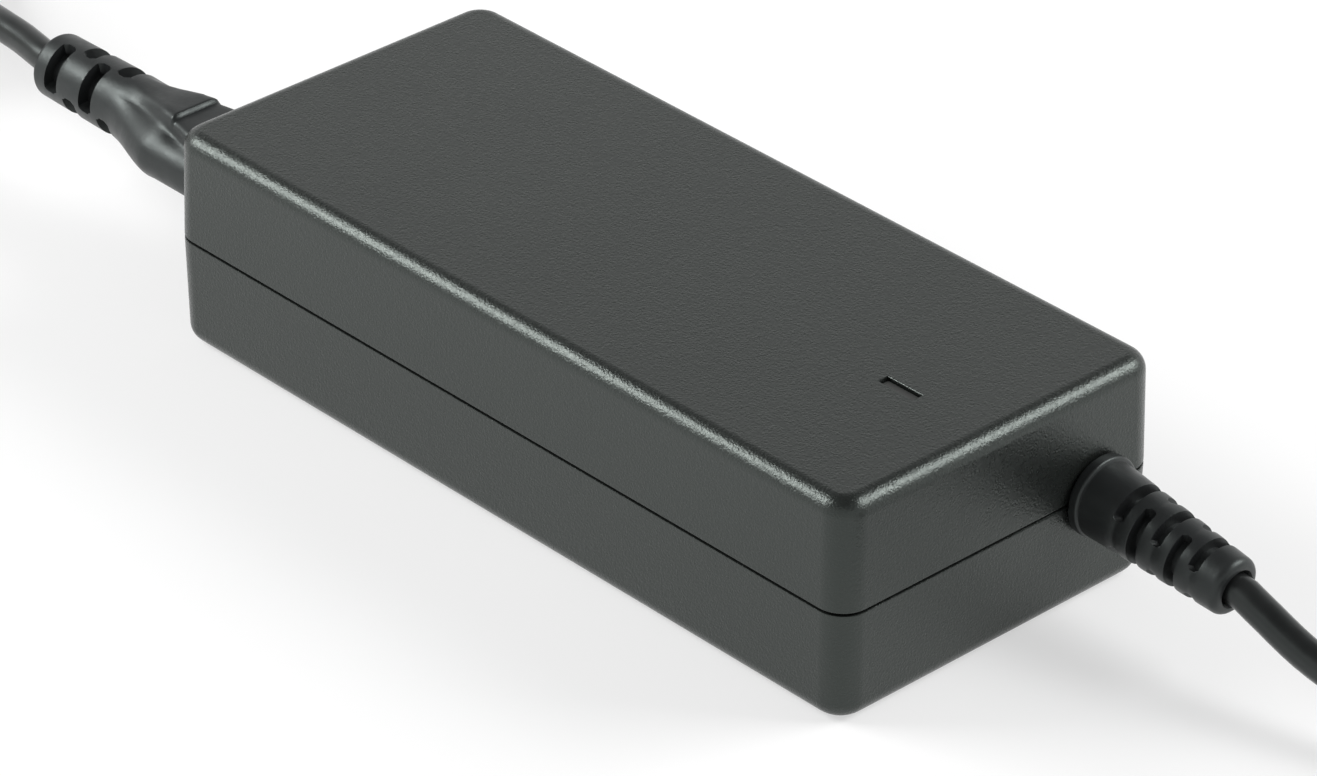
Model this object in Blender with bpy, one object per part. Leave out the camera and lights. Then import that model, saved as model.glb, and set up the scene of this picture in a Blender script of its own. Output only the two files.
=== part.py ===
"""Laptop power adapter: a welded two-shell case with its circuit inside, a captive low-voltage
lead at the +X end and a detachable mains lead plugged into the inlet at the -X end.

Metres, +Z up. The origin is under the middle of the case, on the surface that it stands on.
"""
import math

import bmesh
import bpy
from mathutils import Matrix, Vector

# Gaps between neighbouring pieces
FIT = 0.0003
SEAM_GAP = 0.0004

# Case
CASE_LENGTH = 0.150
CASE_WIDTH = 0.065
BOTTOM_SHELL_HEIGHT = 0.0188
TOP_SHELL_HEIGHT = 0.0186
CASE_WALL = 0.0022
CASE_CORNER = 0.0047
CASE_FILLET = 0.0029
CASE_DRAFT_DEGREES = 1.0
TONGUE_THICKNESS = 0.0008
TONGUE_HEIGHT = 0.0015
POST_RADIUS = 0.0025
POST_FROM_BOARD_EDGE = 0.0045

# Light window in the top
WINDOW_LENGTH = 0.0072
WINDOW_WIDTH = 0.0020
WINDOW_FROM_END = 0.0186
WINDOW_Y = -0.0030
WINDOW_RECESS = 0.0005
WINDOW_FLANGE = 0.0010
WINDOW_FLANGE_THICKNESS = 0.0008

# Mains inlet and the connector that plugs into it
INLET_Y = -0.0125
INLET_Z = 0.0197
INLET_WALL = 0.0015
INLET_BACK = 0.0025
INLET_FLANGE = 0.0016
INLET_FLANGE_THICKNESS = 0.0015
NOSE_LENGTH = 0.0120
NOSE_END_GAP = 0.0010
NOSE_STEP = 0.0004
POLE_SPACING = 0.0100
POLE_DROP = 0.0009
EARTH_RISE = 0.0020
PIN_RADIUS = 0.0012
PIN_TIP_SETBACK = 0.0030
PIN_TAIL = 0.0030
CONTACT_WALL = 0.0006
CONTACT_LENGTH = 0.0080
LOBE_RADIUS = 0.0043
EARTH_LOBE_TOP = 0.00585
EARTH_LOBE_HALF_WIDTH = 0.0060
EARTH_LOBE_FULL_AT = 0.0140
NOSE_EARTH_HALF_WIDTH = 0.0039
EARTH_LOBE_TAPER = 0.235
CONNECTOR_FLARE_START = 0.0217
CONNECTOR_FLARE_END = 0.0320
CONNECTOR_LENGTH = 0.0545
CONNECTOR_NECK_RADIUS = 0.00565
CONNECTOR_END_RADIUS = 0.0052
CONNECTOR_SLOT_FIRST = 0.0355
CONNECTOR_SLOT_STEP = 0.0045
CONNECTOR_SLOT_WIDTH = 0.0026
CONNECTOR_SLOT_FLOOR = 0.0036

# Strain relief of the low-voltage lead
RELIEF_FROM_SIDE = 0.0129
RELIEF_Z = 0.0186
RELIEF_TILT_DEGREES = 6.8
RELIEF_LENGTH = 0.0276
RELIEF_BASE_RADIUS = 0.0061
RELIEF_END_RADIUS = 0.00475
RELIEF_COLLAR_RADIUS = 0.00655
RELIEF_COLLAR_LENGTH = 0.0021
RELIEF_NECK_RADIUS = 0.0045
RELIEF_FLANGE_RADIUS = 0.0063
RELIEF_FLANGE_THICKNESS = 0.0015
RELIEF_SLOT_FIRST = 0.00895
RELIEF_SLOT_STEP = 0.0033
RELIEF_SLOT_WIDTH = 0.00145
RELIEF_SLOT_FLOOR = 0.0034

# Circuit board and what stands on it
BOARD_STANDOFF = 0.0043
BOARD_THICKNESS = 0.0016
BOARD_EDGE_GAP = 0.0015
HEADROOM = 0.0010
SPREADER_THICKNESS = 0.0008
SHEET_THICKNESS = 0.0004
INLET_WIRE_ROOM = 0.0070
WIRE_RADIUS = 0.0008
FUSE_DIAMETER = 0.0084
FUSE_HEIGHT = 0.0080
VARISTOR_DIAMETER = 0.0100
VARISTOR_THICKNESS = 0.0045
X_CAPACITOR_SIZE = (0.0080, 0.0180, 0.0140)
CHOKE_FRAME_WIDTH = 0.0200
CHOKE_FRAME_HEIGHT = 0.0170
CHOKE_LEG = 0.0040
CHOKE_WINDING_BUILD = 0.0027
BRIDGE_SIZE = (0.0040, 0.0170, 0.0150)
BULK_CAPACITOR_DIAMETER = 0.0165
Y_CAPACITOR_DIAMETER = 0.0080
Y_CAPACITOR_THICKNESS = 0.0040
HEATSINK_THICKNESS = 0.0025
HEATSINK_HEADROOM = 0.0040
PRIMARY_HEATSINK_WIDTH = 0.0360
SECONDARY_HEATSINK_WIDTH = 0.0300
DEVICE_SIZE = (0.0045, 0.0100, 0.0130)
DEVICE_LEAD_WIDTH = 0.0060
DEVICE_LEAD_HEIGHT = 0.0030
SCREW_HEAD_RADIUS = 0.0026
SCREW_HEAD_HEIGHT = 0.0018
SCREW_RADIUS = 0.0013
TRANSFORMER_LENGTH = 0.0260
TRANSFORMER_HEADROOM = 0.0040
TRANSFORMER_DEPTH = 0.0100
TRANSFORMER_SIDE_LEG = 0.0035
TRANSFORMER_MIDDLE_LEG = 0.0070
BOBBIN_WALL = 0.0009
WINDING_OVERHANG = 0.0045
OPTOCOUPLER_SIZE = (0.0046, 0.0065, 0.0035)
CONTROL_CHIP_SIZE = (0.0050, 0.0060, 0.0015)
OUTPUT_CAPACITOR_DIAMETER = 0.0090
OUTPUT_CHOKE_DIAMETER = 0.0120
OUTPUT_CHOKE_HEIGHT = 0.0120
OUTPUT_CHOKE_CORE_RADIUS = 0.0028
OUTPUT_CHOKE_FLANGE = 0.0015
LED_RADIUS = 0.0015
LED_HEIGHT = 0.0040
LED_SPACER_WIDTH = 0.0044

# Mains lead: tube, coil, tie and plug
MAINS_CORD_DIAMETER = 0.0053
MAINS_COIL_OFFSET = (-0.0965, 0.0125)
MAINS_COIL_RADIUS = 0.0340
MAINS_COIL_LAYERS = 2
MAINS_COIL_TURNS = 43 / 24
MAINS_COIL_START_DEGREES = 60.0
MAINS_TIE_DEGREES = 0.0
MAINS_PLUG_WIDTH = 0.0250
MAINS_PLUG_HEIGHT = 0.0240
MAINS_PLUG_LENGTH = 0.0280
MAINS_PLUG_RELIEF = 0.0200
BLADE_SPACING = 0.0127
BLADE_HEIGHT = 0.00635
BLADE_THICKNESS = 0.0015
BLADE_REACH = 0.0170
BLADE_RISE = 0.0042
EARTH_PIN_RADIUS = 0.0024
EARTH_PIN_REACH = 0.0190
EARTH_PIN_BELOW_BLADES = 0.0119
BLADE_ROOT = 0.0080

# Low-voltage lead: tube, coil, tie and plug
DC_CORD_DIAMETER = 0.0052
DC_COIL_OFFSET = (0.0856, -0.0196)
DC_COIL_RADIUS = 0.0320
DC_COIL_LAYERS = 4
DC_COIL_TURNS = 1.0
DC_COIL_START_DEGREES = 90.0
DC_TIE_DEGREES = -45.0
DC_PLUG_RELIEF = 0.0180
DC_PLUG_GRIP_LENGTH = 0.0170
DC_PLUG_GRIP_RADIUS = 0.0050
BARREL_RADIUS = 0.00275
BARREL_WALL = 0.0007
BARREL_REACH = 0.0095
BARREL_ROOT = 0.0060
INSULATOR_WALL = 0.0005

# Common to both coils
TURN_GAP = 0.0005
COIL_END_BEND = 0.0220
TIE_THICKNESS = 0.00065
TIE_WIDTH = 0.0060
TIE_CLEARANCE = 0.00035
POINTS_A_LOOP = 24

# Route of each lead from its strain relief to its coil: along and across from the relief's end,
# then height above the table; like the offsets of the coils, chosen by hand
MAINS_ROUTE = (
    (-0.0105, 0.0013, 0.0196),
    (-0.0178, 0.0022, 0.0192),
    (-0.0305, 0.0060, 0.0165),
    (-0.0455, 0.0153, 0.0110),
    (-0.0585, 0.0260, 0.0062),
)
DC_ROUTE = (
    (0.0059, 0.0, 0.0131),
    (0.0167, 0.0, 0.0104),
    (0.0316, 0.0019, 0.0073),
    (0.0496, 0.0066, 0.0048),
    (0.0676, 0.0112, 0.0038),
)

# Facet counts
CORNER_STEPS = 4
FILLET_STEPS = 3
ROUND_SIDES = 24
SMALL_SIDES = 12
SECTION_SIDES = 48

# Places that follow from the sizes above
SEAM_HEIGHT = BOTTOM_SHELL_HEIGHT
CASE_HEIGHT = BOTTOM_SHELL_HEIGHT + TOP_SHELL_HEIGHT
HALF_LENGTH = CASE_LENGTH / 2
HALF_WIDTH = CASE_WIDTH / 2
RELIEF_Y = HALF_WIDTH - RELIEF_FROM_SIDE
DRAFT = math.tan(math.radians(CASE_DRAFT_DEGREES))
DRAFT_LOSS = DRAFT * max(SEAM_HEIGHT, CASE_HEIGHT - SEAM_HEIGHT)
WALL_DEPTH = CASE_WALL + DRAFT_LOSS + FIT
BOARD_BOTTOM = CASE_WALL + BOARD_STANDOFF
BOARD_TOP = BOARD_BOTTOM + BOARD_THICKNESS
SEAT = BOARD_TOP + FIT
BOARD_HALF_LENGTH = HALF_LENGTH - WALL_DEPTH - BOARD_EDGE_GAP
BOARD_HALF_WIDTH = HALF_WIDTH - WALL_DEPTH - BOARD_EDGE_GAP
ROOF = CASE_HEIGHT - CASE_WALL
SPREADER_BOTTOM = ROOF - FIT - SPREADER_THICKNESS
SHEET_BOTTOM = SPREADER_BOTTOM - FIT - SHEET_THICKNESS
TALL_TOP = SHEET_BOTTOM - HEADROOM
HEATSINK_TOP = TALL_TOP - HEATSINK_HEADROOM
TRANSFORMER_TOP = TALL_TOP - TRANSFORMER_HEADROOM
WINDOW_X = HALF_LENGTH - WINDOW_FROM_END
INLET_X = -HALF_LENGTH
POLES = {
    "live": (-POLE_SPACING / 2, -POLE_DROP),
    "neutral": (POLE_SPACING / 2, -POLE_DROP),
    "earth": (0.0, EARTH_RISE),
}
NOSE_ROOM = NOSE_LENGTH + NOSE_END_GAP
INLET_DEPTH = NOSE_ROOM + INLET_BACK
INLET_BACK_X = INLET_X + INLET_DEPTH
NOSE_LOBE = LOBE_RADIUS - NOSE_STEP
NOSE_TOP = EARTH_LOBE_TOP - NOSE_STEP
RELIEF_AXIS = Vector((1, 0, 0))
RELIEF_LEAN = Vector((
    math.cos(math.radians(RELIEF_TILT_DEGREES)), 0, -math.sin(math.radians(RELIEF_TILT_DEGREES))))
RELIEF_BASE = Vector((HALF_LENGTH, RELIEF_Y, RELIEF_Z))
CONNECTOR_BASE = Vector((INLET_X, INLET_Y, INLET_Z))
CONNECTOR_AXIS = Vector((-1, 0, 0))


def clear_scene():
    """Remove whatever the scene holds."""
    for old in list(bpy.data.objects):
        bpy.data.objects.remove(old, do_unlink=True)


def finish(name, colour, roughness, metallic=0.0):
    """A plain surface finish."""
    made = bpy.data.materials.new(name)
    made.use_nodes = True
    shader = made.node_tree.nodes["Principled BSDF"]
    shader.inputs["Base Color"].default_value = (*colour, 1.0)
    shader.inputs["Roughness"].default_value = roughness
    shader.inputs["Metallic"].default_value = metallic
    return made


def ease(t):
    """Rise from 0 to 1 with a level start and end."""
    t = min(max(t, 0.0), 1.0)
    return t * t * (3 - 2 * t)


def spread(low, high, lengths):
    """Centres of pieces of the given lengths, set out with equal gaps between low and high."""
    gap = (high - low - sum(lengths)) / (len(lengths) + 1)
    centres = []
    place = low
    for length in lengths:
        centres.append(place + gap + length / 2)
        place += gap + length
    return centres


def axes_across(axis):
    """Two directions square to an axis: front and up, or X and Y where the axis is upright."""
    if abs(axis.z) > 0.9:
        return Vector((1, 0, 0)), Vector((0, 1, 0))
    side = Vector((0, -1, 0))
    up = side.cross(axis).normalized()
    if up.z < 0:
        up.negate()
    return side, up


def around(centre, axis, radius, degrees):
    """Point at a radius and angle about an axis."""
    side, up = axes_across(axis)
    angle = math.radians(degrees)
    return centre + radius * (math.cos(angle) * side + math.sin(angle) * up)


def circle(centre, axis, radius, sides):
    """Ring of points about an axis."""
    return [around(centre, axis, radius, 360 * i / sides) for i in range(sides)]


def rounded_rectangle(half_x, half_y, corner, z):
    """Level ring of a rectangle with rounded corners."""
    ring = []
    for quarter, (sx, sy) in enumerate(((1, 1), (-1, 1), (-1, -1), (1, -1))):
        for step in range(CORNER_STEPS + 1):
            angle = math.pi / 2 * (quarter + step / CORNER_STEPS)
            x = sx * (half_x - corner) + corner * math.cos(angle)
            y = sy * (half_y - corner) + corner * math.sin(angle)
            ring.append(Vector((x, y, z)))
    return ring


def rectangle(half_x, half_y, z, x=0.0, y=0.0):
    """Level ring of a plain rectangle."""
    corners = ((1, 1), (-1, 1), (-1, -1), (1, -1))
    return [Vector((x + sx * half_x, y + sy * half_y, z)) for sx, sy in corners]


def loft(shape, rings, closed=False):
    """Skin a row of equal rings, capped at both ends, or joined end to end when closed."""
    rows = [[shape.verts.new(point) for point in ring] for ring in rings]
    count = len(rows[0])
    pairs = list(zip(rows, rows[1:]))
    if closed:
        pairs.append((rows[-1], rows[0]))
    else:
        shape.faces.new(rows[0])
        shape.faces.new(rows[-1])
    for lower, upper in pairs:
        for i in range(count):
            j = (i + 1) % count
            shape.faces.new((lower[i], lower[j], upper[j], upper[i]))
    return shape


def turned(shape, base, axis, profile, sides, closed=False):
    """Turned body from a profile of distances along an axis and radii."""
    rings = [circle(base + axis * along, axis, radius, sides) for along, radius in profile]
    return loft(shape, rings, closed)


def box(shape, low, high):
    """Box between two corners."""
    middle = (Vector(low) + Vector(high)) / 2
    half = (Vector(high) - Vector(low)) / 2
    rings = [rectangle(half.x, half.y, z, middle.x, middle.y) for z in (low[2], high[2])]
    return loft(shape, rings)


def standing_box(shape, x, y, size, base):
    """Box of a given size that stands centred on a place."""
    length, width, height = size
    low = (x - length / 2, y - width / 2, base)
    high = (x + length / 2, y + width / 2, base + height)
    return box(shape, low, high)


def prism(shape, outline, x_low, x_high):
    """Outline of y and z points carried along X."""
    rings = [[Vector((x, y, z)) for y, z in outline] for x in (x_low, x_high)]
    return loft(shape, rings)


def sector(shape, base, axis, along, width, inner, outer, degrees, half_span):
    """Slice of a ring about an axis, for cutting slots."""
    steps = 6
    angles = [degrees - half_span + 2 * half_span * i / steps for i in range(steps + 1)]
    rings = []
    for s in (along - width / 2, along + width / 2):
        centre = base + axis * s
        far = [around(centre, axis, outer, a) for a in angles]
        near = [around(centre, axis, inner, a) for a in reversed(angles)]
        rings.append(far + near)
    return loft(shape, rings)


def make_mesh(name, shape):
    """Mesh with its faces turned out, smooth except at its edges."""
    bmesh.ops.recalc_face_normals(shape, faces=shape.faces)
    mesh = bpy.data.meshes.new(name)
    shape.to_mesh(mesh)
    shape.free()
    mesh.shade_smooth()
    mesh.set_sharp_from_angle(angle=math.radians(35))
    return mesh


def node(name, shape, material, parent=None):
    """One named piece."""
    piece = bpy.data.objects.new(name, make_mesh(name, shape))
    piece.data.materials.append(material)
    bpy.context.collection.objects.link(piece)
    hang_on(piece, parent)
    return piece


def hang_on(piece, parent):
    """Hang a piece on the empty that moves it, where it stands."""
    if parent:
        piece.parent = parent
        piece.matrix_parent_inverse = Matrix.Translation(parent.location).inverted()


def change(piece, shape, operation):
    """Cut a shape out of a piece, or join it on."""
    mesh = make_mesh(piece.name + "_" + operation.lower(), shape)
    tool = bpy.data.objects.new(mesh.name, mesh)
    tool.hide_render = True
    tool.display_type = "WIRE"
    bpy.context.collection.objects.link(tool)
    step = piece.modifiers.new(operation.title(), "BOOLEAN")
    step.operation = operation
    step.solver = "EXACT"
    step.object = tool


def tube(name, points, diameter, resolution, material, parent=None):
    """Round tube along points, with filled ends."""
    curve = bpy.data.curves.new(name, "CURVE")
    curve.dimensions = "3D"
    curve.bevel_depth = diameter / 2
    curve.bevel_resolution = resolution
    curve.use_fill_caps = True
    line = curve.splines.new("POLY")
    line.points.add(len(points) - 1)
    for knot, point in zip(line.points, points):
        knot.co = (*point, 1.0)
    line.use_smooth = True
    curve.materials.append(material)
    piece = bpy.data.objects.new(name, curve)
    bpy.context.collection.objects.link(piece)
    hang_on(piece, parent)
    return piece


def smooth_route(guides, spacing):
    """Even points on a smooth curve through the guides; the first and last guide only aim it."""
    fine = []
    substeps = 24
    for before, start, end, after in zip(guides, guides[1:], guides[2:], guides[3:]):
        pull_start = (end - before) / 2
        pull_end = (after - start) / 2
        for i in range(substeps):
            t = i / substeps
            place = start * (2 * t ** 3 - 3 * t ** 2 + 1) + end * (3 * t ** 2 - 2 * t ** 3)
            place += pull_start * (t ** 3 - 2 * t ** 2 + t) + pull_end * (t ** 3 - t ** 2)
            fine.append(place)
    fine.append(guides[-2])
    reach = [0.0]
    for a, b in zip(fine, fine[1:]):
        reach.append(reach[-1] + (b - a).length)
    count = max(2, round(reach[-1] / spacing))
    points = [fine[0]]
    k = 0
    for i in range(1, count):
        wanted = reach[-1] * i / count
        while reach[k + 1] < wanted:
            k += 1
        share = (wanted - reach[k]) / (reach[k + 1] - reach[k])
        points.append(fine[k].lerp(fine[k + 1], share))
    points.append(fine[-1])
    return points


def route_length(points):
    """Length along a row of points."""
    return sum((b - a).length for a, b in zip(points, points[1:]))


def case_ring(z, inset):
    """Level outline of the case, widest at the seam, drawn in by an inset."""
    inset += DRAFT * abs(z - SEAM_HEIGHT)
    corner = max(CASE_CORNER - inset, FIT)
    return rounded_rectangle(HALF_LENGTH - inset, HALF_WIDTH - inset, corner, z)


def shell_rings(outer_face, inner_face, rim, rim_step, step_z):
    """Rings of one shell from its outer face over the rim to its inner face."""
    turn = 1 if rim > outer_face else -1
    rings = []
    for i in range(FILLET_STEPS + 1):
        angle = math.pi / 2 * i / FILLET_STEPS
        z = outer_face + turn * CASE_FILLET * (1 - math.cos(angle))
        rings.append(case_ring(z, CASE_FILLET * (1 - math.sin(angle))))
    rings.append(case_ring(rim, 0.0))
    rings.append(case_ring(rim, rim_step))
    rings.append(case_ring(step_z, rim_step))
    rings.append(case_ring(step_z, CASE_WALL))
    rings.append(case_ring(inner_face, CASE_WALL))
    return rings


def inlet_section(clearance):
    """Half width, bottom and top of the inlet housing about the connector's axis, with a clearance."""
    skin = NOSE_LOBE + FIT + INLET_WALL + clearance
    half_width = POLE_SPACING / 2 + skin
    return half_width, -POLE_DROP - skin, NOSE_TOP + FIT + INLET_WALL + clearance


def shell_openings(shape):
    """Ways through the end walls for the inlet and the strain relief."""
    half_width, bottom, top = inlet_section(FIT)
    low = (INLET_X - CASE_WALL, INLET_Y - half_width, INLET_Z + bottom)
    high = (INLET_X + 2 * CASE_WALL, INLET_Y + half_width, INLET_Z + top)
    box(shape, low, high)
    hole = RELIEF_NECK_RADIUS + FIT
    turned(shape, RELIEF_BASE, RELIEF_AXIS, ((-2 * CASE_WALL, hole), (CASE_WALL, hole)), ROUND_SIDES)
    return shape


def board_posts(shape):
    """Posts that rise from the floor to the corners of the board."""
    for sx in (-1, 1):
        for sy in (-1, 1):
            x = sx * (BOARD_HALF_LENGTH - POST_FROM_BOARD_EDGE)
            y = sy * (BOARD_HALF_WIDTH - POST_FROM_BOARD_EDGE)
            foot = Vector((x, y, CASE_WALL / 2))
            height = BOARD_BOTTOM - FIT - CASE_WALL / 2
            turned(shape, foot, Vector((0, 0, 1)), ((0, POST_RADIUS), (height, POST_RADIUS)), SMALL_SIDES)
    return shape


def build_case(plastic, lens):
    """The two welded shells and the light window in the top."""
    rim = SEAM_HEIGHT - SEAM_GAP / 2
    tongue = CASE_WALL - TONGUE_THICKNESS
    rings = shell_rings(0.0, CASE_WALL, rim, tongue, rim + TONGUE_HEIGHT)
    bottom = node("bottom_shell", loft(bmesh.new(), rings), plastic)
    change(bottom, board_posts(bmesh.new()), "UNION")
    change(bottom, shell_openings(bmesh.new()), "DIFFERENCE")

    groove = SEAM_HEIGHT - SEAM_GAP / 2 + TONGUE_HEIGHT + FIT
    rings = shell_rings(CASE_HEIGHT, ROOF, SEAM_HEIGHT + SEAM_GAP / 2, tongue - FIT, groove)
    top = node("top_shell", loft(bmesh.new(), rings), plastic)
    slot = bmesh.new()
    low = (WINDOW_X - WINDOW_LENGTH / 2, WINDOW_Y - WINDOW_WIDTH / 2, ROOF - CASE_WALL)
    high = (WINDOW_X + WINDOW_LENGTH / 2, WINDOW_Y + WINDOW_WIDTH / 2, CASE_HEIGHT + CASE_WALL)
    box(slot, low, high)
    change(top, shell_openings(slot), "DIFFERENCE")

    pane_x = WINDOW_LENGTH / 2 - FIT
    pane_y = WINDOW_WIDTH / 2 - FIT
    flange_top = ROOF - FIT
    steps = (
        (flange_top - WINDOW_FLANGE_THICKNESS, WINDOW_FLANGE + FIT),
        (flange_top, WINDOW_FLANGE + FIT),
        (flange_top, 0.0),
        (CASE_HEIGHT - WINDOW_RECESS, 0.0),
    )
    rings = [rectangle(pane_x + more, pane_y + more, z, WINDOW_X, WINDOW_Y) for z, more in steps]
    node("led_window", loft(bmesh.new(), rings), lens)


def ray_to_lobe(across, up, pole, radius):
    """How far a ray from the connector's axis runs before it leaves a round lobe."""
    along = across * pole[0] + up * pole[1]
    left = along ** 2 - pole[0] ** 2 - pole[1] ** 2 + radius ** 2
    return along + math.sqrt(left) if left > 0 else 0.0


def ray_to_block(across, up, half_width, bottom, top):
    """How far a ray from the connector's axis runs before it leaves a block round the axis."""
    limits = []
    if abs(across) > 1e-9:
        limits.append(half_width / abs(across))
    if abs(up) > 1e-9:
        limits.append((top if up > 0 else bottom) / up)
    return min(limits)


def lobed_radius(degrees, lobe, earth_half_width, earth_top):
    """Polar radius of the three-lobed section: two round poles below and the earth lobe above."""
    across = -math.cos(math.radians(degrees))
    up = math.sin(math.radians(degrees))
    base = -POLE_DROP - lobe
    reach = [ray_to_lobe(across, up, POLES[pole], lobe) for pole in ("live", "neutral")]
    reach.append(ray_to_block(across, up, earth_half_width, base, earth_top))
    reach.append(ray_to_block(across, up, POLE_SPACING / 2, base, 0.0))
    return max(reach)


def section_ring(along, radius_at):
    """Ring of the connector at a distance from the case, from a polar radius."""
    centre = CONNECTOR_BASE + CONNECTOR_AXIS * along
    angles = [360 * i / SECTION_SIDES for i in range(SECTION_SIDES)]
    return [around(centre, CONNECTOR_AXIS, radius_at(a), a) for a in angles]


def nose_ring(along, clearance):
    """Ring of the nose that goes into the inlet."""
    lobe = NOSE_LOBE + clearance
    half_width = NOSE_EARTH_HALF_WIDTH + clearance
    return section_ring(along, lambda a: lobed_radius(a, lobe, half_width, NOSE_TOP + clearance))


def body_ring(along):
    """Ring of the moulded body, which turns from three lobes into a round neck."""
    narrowing = EARTH_LOBE_TAPER * max(0.0, along - EARTH_LOBE_FULL_AT)
    half_width = EARTH_LOBE_HALF_WIDTH - narrowing
    blend = ease((along - CONNECTOR_FLARE_START) / (CONNECTOR_FLARE_END - CONNECTOR_FLARE_START))

    def radius_at(degrees):
        lobed = lobed_radius(degrees, LOBE_RADIUS, half_width, EARTH_LOBE_TOP)
        return lobed * (1 - blend) + CONNECTOR_NECK_RADIUS * blend

    return section_ring(along, radius_at)


def pole_bores(shape, radius, along_low, along_high):
    """Round bores on the three pole axes."""
    for across, up in POLES.values():
        base = CONNECTOR_BASE + Vector((0, across, up))
        profile = ((along_low, radius), (along_high, radius))
        turned(shape, base, CONNECTOR_AXIS, profile, SMALL_SIDES)
    return shape


def build_inlet(plastic, metal):
    """Inlet housing in the end wall, with its three pins."""
    half_width, bottom, top = inlet_section(0.0)

    def ring(x, more):
        low, high = INLET_Z + bottom - more, INLET_Z + top + more
        sides = (INLET_Y - half_width - more, INLET_Y + half_width + more)
        corners = ((sides[0], low), (sides[1], low), (sides[1], high), (sides[0], high))
        return [Vector((x, y, z)) for y, z in corners]

    flange_x = INLET_X + WALL_DEPTH
    flange_end = flange_x + INLET_FLANGE_THICKNESS
    steps = (
        (INLET_X + FIT, 0.0),
        (flange_x, 0.0),
        (flange_x, INLET_FLANGE),
        (flange_end, INLET_FLANGE),
        (flange_end, 0.0),
        (INLET_BACK_X, 0.0),
    )
    housing = node("inlet_housing", loft(bmesh.new(), [ring(x, more) for x, more in steps]), plastic)
    hollow = bmesh.new()
    loft(hollow, [nose_ring(INLET_BACK, FIT), nose_ring(-NOSE_ROOM, FIT)])
    change(housing, hollow, "DIFFERENCE")
    holes = pole_bores(bmesh.new(), PIN_RADIUS + FIT, -INLET_DEPTH - INLET_BACK, -NOSE_ROOM + INLET_BACK)
    change(housing, holes, "DIFFERENCE")

    for pole, (across, up) in POLES.items():
        base = CONNECTOR_BASE + Vector((0, across, up))
        profile = (
            (-INLET_DEPTH - PIN_TAIL, PIN_RADIUS),
            (-PIN_TIP_SETBACK - PIN_RADIUS / 2, PIN_RADIUS),
            (-PIN_TIP_SETBACK, PIN_RADIUS / 2),
        )
        shape = turned(bmesh.new(), base, CONNECTOR_AXIS, profile, SMALL_SIDES)
        node("inlet_pin_" + pole, shape, metal)


def build_connector(rubber, metal, carrier):
    """Moulded connector of the mains lead, with its slotted neck and three contacts."""
    rings = [nose_ring(-NOSE_LENGTH, 0.0), nose_ring(FIT, 0.0)]
    flare_steps = 5
    flare = (CONNECTOR_FLARE_END - CONNECTOR_FLARE_START) / flare_steps
    stations = [FIT, EARTH_LOBE_FULL_AT, (EARTH_LOBE_FULL_AT + CONNECTOR_FLARE_START) / 2]
    stations += [CONNECTOR_FLARE_START + flare * i for i in range(flare_steps + 1)]
    rings += [body_ring(along) for along in stations]
    rounding = CONNECTOR_END_RADIUS / 5
    ends = (
        (CONNECTOR_LENGTH - rounding, CONNECTOR_END_RADIUS),
        (CONNECTOR_LENGTH - rounding / 4, CONNECTOR_END_RADIUS - rounding / 3),
        (CONNECTOR_LENGTH, CONNECTOR_END_RADIUS - rounding),
    )
    rings += [section_ring(along, lambda a, r=radius: r) for along, radius in ends]
    body = node("mains_connector", loft(bmesh.new(), rings), rubber, carrier)

    slots = bmesh.new()
    for row in range(4):
        along = CONNECTOR_SLOT_FIRST + CONNECTOR_SLOT_STEP * row
        first = 138 if row % 2 == 0 else 48
        for degrees in (first, first + 180):
            sector(slots, CONNECTOR_BASE, CONNECTOR_AXIS, along, CONNECTOR_SLOT_WIDTH,
                   CONNECTOR_SLOT_FLOOR, 2 * CONNECTOR_NECK_RADIUS, degrees, 48)
    change(body, slots, "DIFFERENCE")
    contact_in = PIN_RADIUS + FIT
    contact_out = contact_in + CONTACT_WALL
    bores = pole_bores(bmesh.new(), contact_out + FIT, -NOSE_LENGTH - NOSE_END_GAP,
                       -PIN_TIP_SETBACK + NOSE_END_GAP)
    change(body, bores, "DIFFERENCE")

    mouth = -NOSE_LENGTH + FIT
    for pole, (across, up) in POLES.items():
        base = CONNECTOR_BASE + Vector((0, across, up))
        profile = (
            (mouth, contact_in),
            (mouth, contact_out),
            (mouth + CONTACT_LENGTH, contact_out),
            (mouth + CONTACT_LENGTH, contact_in),
        )
        shape = turned(bmesh.new(), base, CONNECTOR_AXIS, profile, SMALL_SIDES, closed=True)
        node("connector_contact_" + pole, shape, metal, carrier)


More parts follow.
